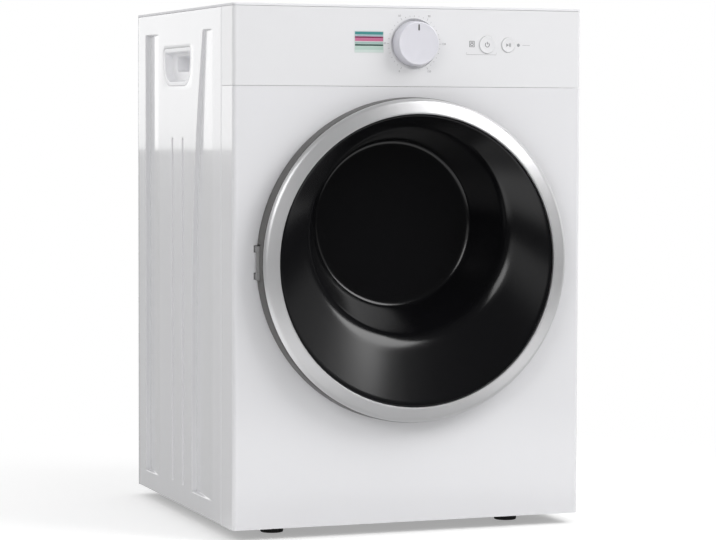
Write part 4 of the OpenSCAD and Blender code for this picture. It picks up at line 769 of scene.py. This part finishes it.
def makeScrewTree():
    # a dome cut flat below and crosswise above, in mm, because the boolean is surer at that size
    tree, given = newTree("screwsOnPoints", {
        "Radius": 4.0, "Height": 2.2, "Slot": 1.0, "Depth": 1.1, "Facing": (0, 0, 0)})
    radius, height, slot = given["Radius"], given["Height"], given["Slot"]
    ball = addNode(tree, "GeometryNodeMeshUVSphere", {"Radius": radius, "Segments": 28, "Rings": 15})
    head = moved(tree, ball, Scale=vectorOf(tree, 1, 1, addMath(tree, "DIVIDE", height, radius)))
    big = addMath(tree, "MULTIPLY", radius, 4.0)
    under = vectorOf(tree, 0, 0, addMath(tree, "MULTIPLY", radius, -2.03))
    reach, deep = addMath(tree, "MULTIPLY", radius, 1.15), addMath(tree, "MULTIPLY", given["Depth"], 2.0)
    lessDeep, above = addMath(tree, "MULTIPLY", deep, 0.93), vectorOf(tree, 0, 0, height)
    for cutter in (
            moved(tree, addCube(tree, big, big, big), Translation=under),
            moved(tree, addCube(tree, reach, slot, deep), Translation=above),
            moved(tree, addCube(tree, slot, reach, lessDeep), Translation=above)):
        head = addNode(tree, "GeometryNodeMeshBoolean", {"Mesh 1": head, "Mesh 2": cutter},
                       operation="DIFFERENCE")
    return closeTree(tree, given, onPoints(
        tree, given["Geometry"], head, Rotation=toRotation(tree, given["Facing"]), Scale=(mm, mm, mm)))


def makeSpokeTree():
    tree, given = newTree("barsRoundMiddle", {
        "Count": 12, "Start": 0.0, "Sweep": 6.28, "Radius": 0.04, "Length": 0.003, "Width": 0.0005,
        "Height": 0.0003, "Facing": (0, 0, 0), "Middle": (0, 0, 0)})
    count, length, height = given["Count"], given["Length"], given["Height"]
    line = addNode(tree, "GeometryNodeMeshLine", {"Count": count, "Offset": (0, 0, 0)})
    gaps = addMath(tree, "MAXIMUM", addMath(tree, "SUBTRACT", count, 1.0), 1.0)
    step = addMath(tree, "DIVIDE", given["Sweep"], gaps)
    angle = addMath(tree, "MULTIPLY_ADD", addNode(tree, "GeometryNodeInputIndex"), step, given["Start"])
    away = addMath(tree, "MULTIPLY_ADD", length, 0.5, given["Radius"])
    bar = moved(tree, addCube(tree, length, given["Width"], height),
                Translation=vectorOf(tree, away, 0, addMath(tree, "MULTIPLY", height, 0.5)))
    bars = onPoints(tree, line, bar, Rotation=toRotation(tree, vectorOf(tree, 0, 0, angle)))
    return closeTree(tree, given, moved(tree, bars, Rotation=given["Facing"], Translation=given["Middle"]))


def makeScreenTree():
    tree, given = newTree("wireScreen", {
        "Count": 41, "Pitch": 0.004, "Radius": 0.09, "Wire": 0.0006, "Facing": (0, 0, 0),
        "Middle": (0, 0, 0)})
    count, pitch, wire = given["Count"], given["Pitch"], given["Wire"]
    halfCount = addMath(tree, "MULTIPLY", addMath(tree, "SUBTRACT", count, 1.0), -0.5)
    line = addNode(tree, "GeometryNodeMeshLine", {
        "Count": count, "Start Location": vectorOf(tree, addMath(tree, "MULTIPLY", halfCount, pitch), 0, 0),
        "Offset": vectorOf(tree, pitch, 0, 0)})
    # each wire is as long as the circle is there
    across = partOf(tree, addNode(tree, "GeometryNodeInputPosition"), "X")
    square = addMath(tree, "SUBTRACT", addMath(tree, "POWER", given["Radius"], 2.0),
                     addMath(tree, "POWER", across, 2.0))
    long = addMath(tree, "MULTIPLY", addMath(tree, "SQRT", addMath(tree, "MAXIMUM", square, 0.0)), 2.0)
    warp = onPoints(tree, line, addCube(tree, wire, 1.0, wire), Scale=vectorOf(tree, 1.0, long, 1.0))
    weft = moved(tree, warp, Translation=vectorOf(tree, 0, 0, addMath(tree, "MULTIPLY", wire, 0.8)),
                 Rotation=(0, 0, pi / 2))
    both = tree.nodes.new("GeometryNodeJoinGeometry")
    for wires in (warp, weft):
        feed(tree, both.inputs[0], wires)
    return closeTree(tree, given, moved(
        tree, both.outputs[0], Rotation=given["Facing"], Translation=given["Middle"]))


screwTree, spokeTree, screenTree = makeScrewTree(), makeSpokeTree(), makeScreenTree()


def growPiece(name, tree, values, points=((0, 0, 0),)):
    mesh = bpy.data.meshes.new(name)
    mesh.from_pydata(list(points), [], [])
    obj = link(mesh, name)
    grow = obj.modifiers.new("grow", "NODES")
    grow.node_group = tree
    for item in tree.interface.items_tree:
        if item.name in values:
            grow[item.identifier] = values[item.name]
    makePlain(obj)
    shadeSmooth(obj.data)
    return obj


# screws: the rear panel's ten, and the door frame's six
screws = {
    "rearHead": 4.0, "rearHeight": 2.2, "rearRows": 5,  # mm
    "doorHead": 3.6, "doorHeight": 1.3, "doorRadius": 241.0, "doorAngles": (48, 90, 132, 228, 270, 312),
    "slot": 1.0, "depth": 1.1,
}


def makeScrews(d):
    low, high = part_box("rear_panel_screws")
    head = d["rearHead"] * mm
    x, z0, z1 = high.x - head, low.z + head, high.z - head
    y = high.y - d["rearHeight"] * mm
    rows = [z0 + (z1 - z0) * i / (d["rearRows"] - 1) for i in range(d["rearRows"])]
    shared = {"Slot": d["slot"], "Depth": d["depth"], "Facing": (-pi / 2, 0, 0),
              "Material": finishes["zinc_part"]}
    rear = growPiece("rearScrews", screwTree, shared | {"Radius": d["rearHead"], "Height": d["rearHeight"]},
                     [(side * x, y, z) for z in rows for side in (-1, 1)])
    back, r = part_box("door_inner_frame")[1].y, d["doorRadius"]
    spots = [(r * mm * cos(a), back, (doorHeight + r * sin(a)) * mm)
             for a in map(radians, d["doorAngles"])]
    door = growPiece("doorFrameScrews", screwTree,
                     shared | {"Radius": d["doorHead"], "Height": d["doorHeight"]}, spots)
    return rear, door


rearScrews, doorScrews = makeScrews(screws)
finishPiece(rearScrews, "cabinet", "zinc_part", "rear_panel_screws")
finishPiece(doorScrews, "door", "zinc_part")
print("stage: screws")


# lint filter: fine wire cloth over its spokes, which lie 5 mm behind the filter's front
filterCloth = {"radius": 92.5, "pitch": 2.6, "wire": 0.45, "spokes": 5, "stands": 0.1}  # mm


def makeFilterCloth(d):
    low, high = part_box("lint_filter")
    middle = ((low.x + high.x) / 2, low.y + (d["spokes"] - d["stands"]) * mm, (low.z + high.z) / 2)
    count = 2 * int(d["radius"] / d["pitch"]) + 1
    return growPiece("filterCloth", screenTree, {
        "Count": count, "Pitch": d["pitch"] * mm, "Radius": d["radius"] * mm, "Wire": d["wire"] * mm,
        "Facing": (pi / 2, 0, 0), "Middle": middle, "Material": finishes["lifter_grey"]})


finishPiece(makeFilterCloth(filterCloth), "filter", "lifter_grey")
print("stage: filter cloth")


# finger ribs round each foot's pad; their roots go into it
footRibs = {"count": 36, "root": 1.0, "reach": 0.7, "width": 1.4, "height": 5.5, "lift": 1.5}  # mm


def makeFootRibs(d, node, name):
    low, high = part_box(node)
    radius = (high.x - low.x) / 2
    return growPiece(name, spokeTree, {
        "Count": d["count"], "Start": 0.0, "Sweep": 2 * pi * (d["count"] - 1) / d["count"],
        "Radius": radius - d["root"] * mm, "Length": (d["root"] + d["reach"]) * mm, "Width": d["width"] * mm,
        "Height": d["height"] * mm, "Middle": ((low.x + high.x) / 2, (low.y + high.y) / 2, d["lift"] * mm),
        "Material": finishes["foot_rubber"]})


for i, place in enumerate(("front_left", "front_right", "rear_left", "rear_right"), 1):
    ribs = makeFootRibs(footRibs, "foot_" + place, "footRibs%d" % i)
    finishPiece(ribs, "foot_%d" % i, "foot_rubber")
print("stage: foot ribs")


# door ring: satin silver, falling away outwards from the dish, on a dark side band with the finger grip
doorRing = {
    "middle": (0, doorHeight), "sides": 360, "wall": 1.8,
    "ring": ((233.4, 33.5), (233.4, 40.7), (235.2, 41.0), (253.4, 35.0), (258.3, 30.4), (257.0, 29.0)),
    "band": ((256.6, 28.2), (258.5, 28.6), (259.3, 22.0), (259.7, 14.0), (260.0, 3.0)),
    "gripHeights": (384, 438), "gripMiddle": (262.5, 13.0), "gripRadius": 9.0,
    "fineFrom": 24.0, "fineCount": 21,  # loops 1 mm apart over the grip, so that its hollow is round
    "notch": (28.9, 16.7),  # half its height and how far forward it reaches, for the hinge
    "notchSide": -200,  # it is only left of here
}


def gripCarve(d):
    low, high = d["gripHeights"]
    middleX, middleP = d["gripMiddle"]

    def carve(x, proud, z):
        beyond = max(0.0, low - z, z - high)
        reach = d["gripRadius"] ** 2 - (proud - middleP) ** 2 - beyond ** 2
        return x if x < 0 or reach <= 0 else min(x, middleX - sqrt(reach))
    return carve


def bandOutline(d):
    start = d["fineFrom"]
    outline = smoothBend(d["band"], 5)
    fine = [p for p in outline if p[1] > start]
    run = [fine[-1]] + [p for p in outline if p[1] <= start]
    for step in [start - i for i in range(d["fineCount"])] + [d["band"][-1][1]]:
        a, b = next(((a, b) for a, b in zip(run, run[1:]) if a[1] >= step >= b[1]), (run[-2], run[-1]))
        t = (a[1] - step) / (a[1] - b[1])
        fine.append((a[0] + (b[0] - a[0]) * t, step))
    return fine


def faceOutwards(mesh):
    # an open turned sheet has to look to the front or away from the middle
    front = min(mesh.polygons, key=lambda f: (f.center.y, f.index))
    flat = Vector((front.center.x, 0, front.center.z - doorHeight * mm)).normalized()
    if (Vector((0, -1, 0)) + flat).dot(front.normal) < 0:
        mesh.flip_normals()
    return mesh


def makeDoorRing(d):
    bm = bmesh.new()
    turnOutline(bm, smoothBend(d["ring"], 6), d)
    ring = faceOutwards(meshOf(bm, "doorRing", 50))
    bm = bmesh.new()
    turnOutline(bm, bandOutline(d), d, gripCarve(d))
    half, forward = d["notch"]

    def inNotch(at):
        return (at.x < d["notchSide"] * mm and abs(at.z / mm - d["middle"][1]) < half
                and (frontY - at.y) / mm < forward)

    bmesh.ops.delete(bm, geom=[f for f in bm.faces if inNotch(f.calc_center_median())], context="FACES")
    band = faceOutwards(meshOf(bm, "doorBand", 50))
    return thicken(ring, d["wall"]), thicken(band, d["wall"])


ringPiece, bandPiece = makeDoorRing(doorRing)
finishPiece(ringPiece, "door", "bezel_silver", "door_bezel")
finishPiece(bandPiece, "door", "black_plastic", material=darkBand)
print("stage: door ring")


# flat shapes of (x, z) points, mm, standing between two distances in front of the cabinet

def addPrism(bm, outline, back, front):
    near = [bm.verts.new((x * mm, frontY - front * mm, z * mm)) for x, z in outline]
    far = [bm.verts.new((x * mm, frontY - back * mm, z * mm)) for x, z in outline]
    bm.faces.new(near)
    bm.faces.new(far[::-1])
    for k in range(len(outline)):
        n = (k + 1) % len(outline)
        bm.faces.new((near[k], far[k], far[n], near[n]))


def addStroke(bm, points, width, back, front, closed=False):
    # a line of even width
    run = [Vector(p) for p in points]
    count = len(run)
    sides = []
    for i, p in enumerate(run):
        before = run[i - 1] if i or closed else p
        after = run[(i + 1) % count] if i < count - 1 or closed else p
        along = (after - before).normalized()
        across = Vector((-along.y, along.x)) * width / 2
        sides.append([bm.verts.new(((p + o).x * mm, frontY - d * mm, (p + o).y * mm))
                      for o, d in ((across, front), (-across, front), (-across, back), (across, back))])
    joinLoops(bm, sides + sides[:1] if closed else sides)
    if not closed:
        bm.faces.new(sides[0])
        bm.faces.new(sides[-1][::-1])


def addNumber(bm, text, middle, size, back, front):
    curve = bpy.data.curves.new("number", "FONT")
    curve.body, curve.size = text, size
    curve.align_x = curve.align_y = "CENTER"
    curve.extrude = (front - back) / 2
    curve.resolution_u = 3
    holder = link(curve, "number")
    shape = plainMesh(holder)
    for v in shape.vertices:
        x, up, out = v.co
        v.co = ((middle[0] + x) * mm, frontY - (out + (front + back) / 2) * mm, (middle[1] + up) * mm)
    bm.from_mesh(shape)
    bpy.data.objects.remove(holder)
    bpy.data.curves.remove(curve)
    bpy.data.meshes.remove(shape)


# timer knob: a shallow dished disc with a soft edge, and its pointer
timerKnob = {
    "middle": dialMiddle, "sides": 180,
    "outline": ((0, 20.3), (24.0, 20.3), (30.5, 20.6), (33.2, 21.0), (34.2, 19.6), (34.6, 14.0), (35.2, 5.0),
                (35.9, 3.2), (36.0, -4.0), (34.0, -4.2), (3.0, -4.2), (3.0, -24.0), (0, -24.0)),
    "pointer": (1.1, 20.5, 30.5),  # half its width, from and to this far above the middle
    "pointerProud": (20.2, 20.85),
}


def makeTimerKnob(d):
    bm = bmesh.new()
    turnOutline(bm, smoothBend(d["outline"], 4), d)
    knob = pieceOf(bm, "timerKnob")
    half, low, high = d["pointer"]
    x, z = d["middle"]
    bm = bmesh.new()
    addPrism(bm, arcPoints((x, z + high - half), half, 0, 180, 8)
             + arcPoints((x, z + low + half), half, 180, 360, 8), *d["pointerProud"])
    return knob, pieceOf(bm, "knobPointer")


knobPiece, pointerPiece = makeTimerKnob(timerKnob)
finishPiece(knobPiece, "timer_dial", "knob_silver", "timer_knob")
finishPiece(pointerPiece, "timer_dial", "black_plastic", material=darkBand)
print("stage: timer knob")


# prints on the control panel: dial ticks with plain minutes, button signs and the programme chart; mm
panelPrints = {
    "proud": 0.12, "sunk": 0.05, "line": 0.5,
    "dial": dialMiddle, "ticks": 31, "longTicks": 6, "tickFrom": 43.0, "tick": 2.0, "longTick": 3.6,
    "tickSpan": (240, -60),
    "numbers": ("0", "30", "60", "90", "120", "150"), "numberRadius": 50.8, "numberSize": 4.6,
    "power": (131, 785), "start": (168, 785), "signRadius": 3.6, "signLine": 0.9, "signProud": (0.5, 1.0),
    "icon": (104.5, 786), "underline": (95, 147, 769), "underlineEnds": 3.5, "dash": (193, 206, 785),
}


def makeDialMarks(d):
    back, front = -d["sunk"], d["proud"]
    bm = bmesh.new()
    cx, cz = d["dial"]
    first, last = d["tickSpan"]
    for name, count, start, length in (
            ("ticks", d["ticks"], 0.0, d["tick"]),
            ("longTicks", d["longTicks"], d["tick"] + 0.03, d["longTick"] - d["tick"])):
        ticks = growPiece(name, spokeTree, {
            "Count": count, "Start": radians(first), "Sweep": radians(last - first),
            "Radius": (d["tickFrom"] + start) * mm, "Length": length * mm, "Width": d["line"] * mm,
            "Height": (front - back) * mm, "Facing": (pi / 2, 0, 0),
            "Middle": (cx * mm, frontY - back * mm, cz * mm), "Material": printGrey})
        bm.from_mesh(ticks.data)
        bpy.data.objects.remove(ticks)
    places = arcPoints(d["dial"], d["numberRadius"], first, last, len(d["numbers"]) - 1)
    for text, place in zip(d["numbers"], places):
        addNumber(bm, text, place, d["numberSize"], back, front)
    x0, x1, z = d["underline"]
    top = z + d["underlineEnds"]
    addStroke(bm, [(x0, top), (x0, z), (x1, z), (x1, top)], d["line"], back, front)
    x0, x1, z = d["dash"]
    addStroke(bm, [(x0, z), (x1, z)], d["line"], back, front)
    return pieceOf(bm, "dialMarks")


def makeDryerSign(d):
    # a box with a drum and a line over it
    back, front = -d["sunk"], d["proud"]
    bm = bmesh.new()
    x, z = d["icon"]
    box = [(x - 4, z - 4.5), (x + 4, z - 4.5), (x + 4, z + 4.5), (x - 4, z + 4.5)]
    addStroke(bm, box, 1.1, back, front, True)
    addStroke(bm, arcPoints((x, z - 0.8), 2.2, 0, 337.5, 15), 0.9, back, front, True)
    addStroke(bm, [(x - 2.6, z + 2.9), (x + 2.6, z + 2.9)], 0.7, back, front)
    return pieceOf(bm, "dryerSign")


def makeButtonSigns(d):
    # the power sign and the start and pause sign, set in the buttons' dished faces
    radius, line, (back, front) = d["signRadius"], d["signLine"], d["signProud"]
    x, z = d["power"]
    bm = bmesh.new()
    addStroke(bm, arcPoints((x, z), radius, 125, 415, 24), line, back, front)
    addStroke(bm, [(x, z + 0.6), (x, z + radius + 1.2)], line, back, front)
    power = pieceOf(bm, "powerSign")
    x, z = d["start"]
    bm = bmesh.new()
    addPrism(bm, [(x - 3.8, z - 2.8), (x + 0.6, z), (x - 3.8, z + 2.8)], back, front)
    for step in (1.9, 3.8):
        addStroke(bm, [(x + step, z - 2.8), (x + step, z + 2.8)], 1.0, back, front + 0.05)
    return power, pieceOf(bm, "startSign")


finishPiece(makeDialMarks(panelPrints), "cabinet", "black_plastic", material=printGrey)
finishPiece(makeDryerSign(panelPrints), "cabinet", "black_plastic", material=printDark)
powerSign, startSign = makeButtonSigns(panelPrints)
finishPiece(powerSign, "power_key", "black_plastic", material=printDark)
finishPiece(startSign, "start_key", "black_plastic", material=printGrey)


# programme chart left of the knob: a thin foil with coloured bars, (colour, low, high) from its lower edge
programmeChart = {
    "left": -97.0, "right": -47.0, "low": 769.5, "high": 804.5, "corner": 2.0, "foil": 0.15, "print": 0.1,
    "sunk": 0.05, "ground": (0.62, 0.66, 0.65), "inset": 1.2, "barCorner": 0.4,
    "bars": (
        ((0.06, 0.27, 0.27), 29.0, 33.6), ((0.35, 0.44, 0.50), 26.2, 28.4), ((0.24, 0.02, 0.09), 23.6, 26.0),
        ((0.55, 0.16, 0.29), 18.6, 23.4), ((0.33, 0.47, 0.44), 14.4, 17.4), ((0.03, 0.10, 0.07), 11.2, 13.8),
        ((0.46, 0.60, 0.54), 5.0, 10.4), ((0.58, 0.68, 0.64), 1.6, 4.4)),
}


def makeProgrammeChart(d):
    bm = bmesh.new()
    tint = bm.loops.layers.float_color.new("tint")

    def addPlate(inset, low, high, corner, back, front, colour):
        start = len(bm.faces)
        outline = roundedLoop(d["left"] + inset, d["right"] - inset, low, high, corner, corner, 5)
        addPrism(bm, outline, back, front)
        bm.faces.ensure_lookup_table()
        for f in bm.faces[start:]:
            for corner in f.loops:
                corner[tint] = colour + (1.0,)

    addPlate(0, d["low"], d["high"], d["corner"], -d["sunk"], d["foil"], d["ground"])
    for colour, low, high in d["bars"]:
        addPlate(d["inset"], d["low"] + low, d["low"] + high, d["barCorner"], d["foil"] - d["sunk"],
                 d["foil"] + d["print"], colour)
    bmesh.ops.recalc_face_normals(bm, faces=bm.faces)
    mesh = bpy.data.meshes.new("programmeChart")
    bm.to_mesh(mesh)
    bm.free()
    shadeSmooth(mesh)
    return link(mesh, "programmeChart")


# the chart's finish takes its colours from the mesh
chartNodes = chartPrint.node_tree
tintColour = addNode(chartNodes, "ShaderNodeAttribute", out="Color", attribute_name="tint")
feed(chartNodes, next(n for n in chartNodes.nodes if n.type == "GROUP").inputs["Colour"], tintColour)
finishPiece(makeProgrammeChart(programmeChart), "cabinet", "white_plastic", material=chartPrint)
print("stage: prints on the control panel")
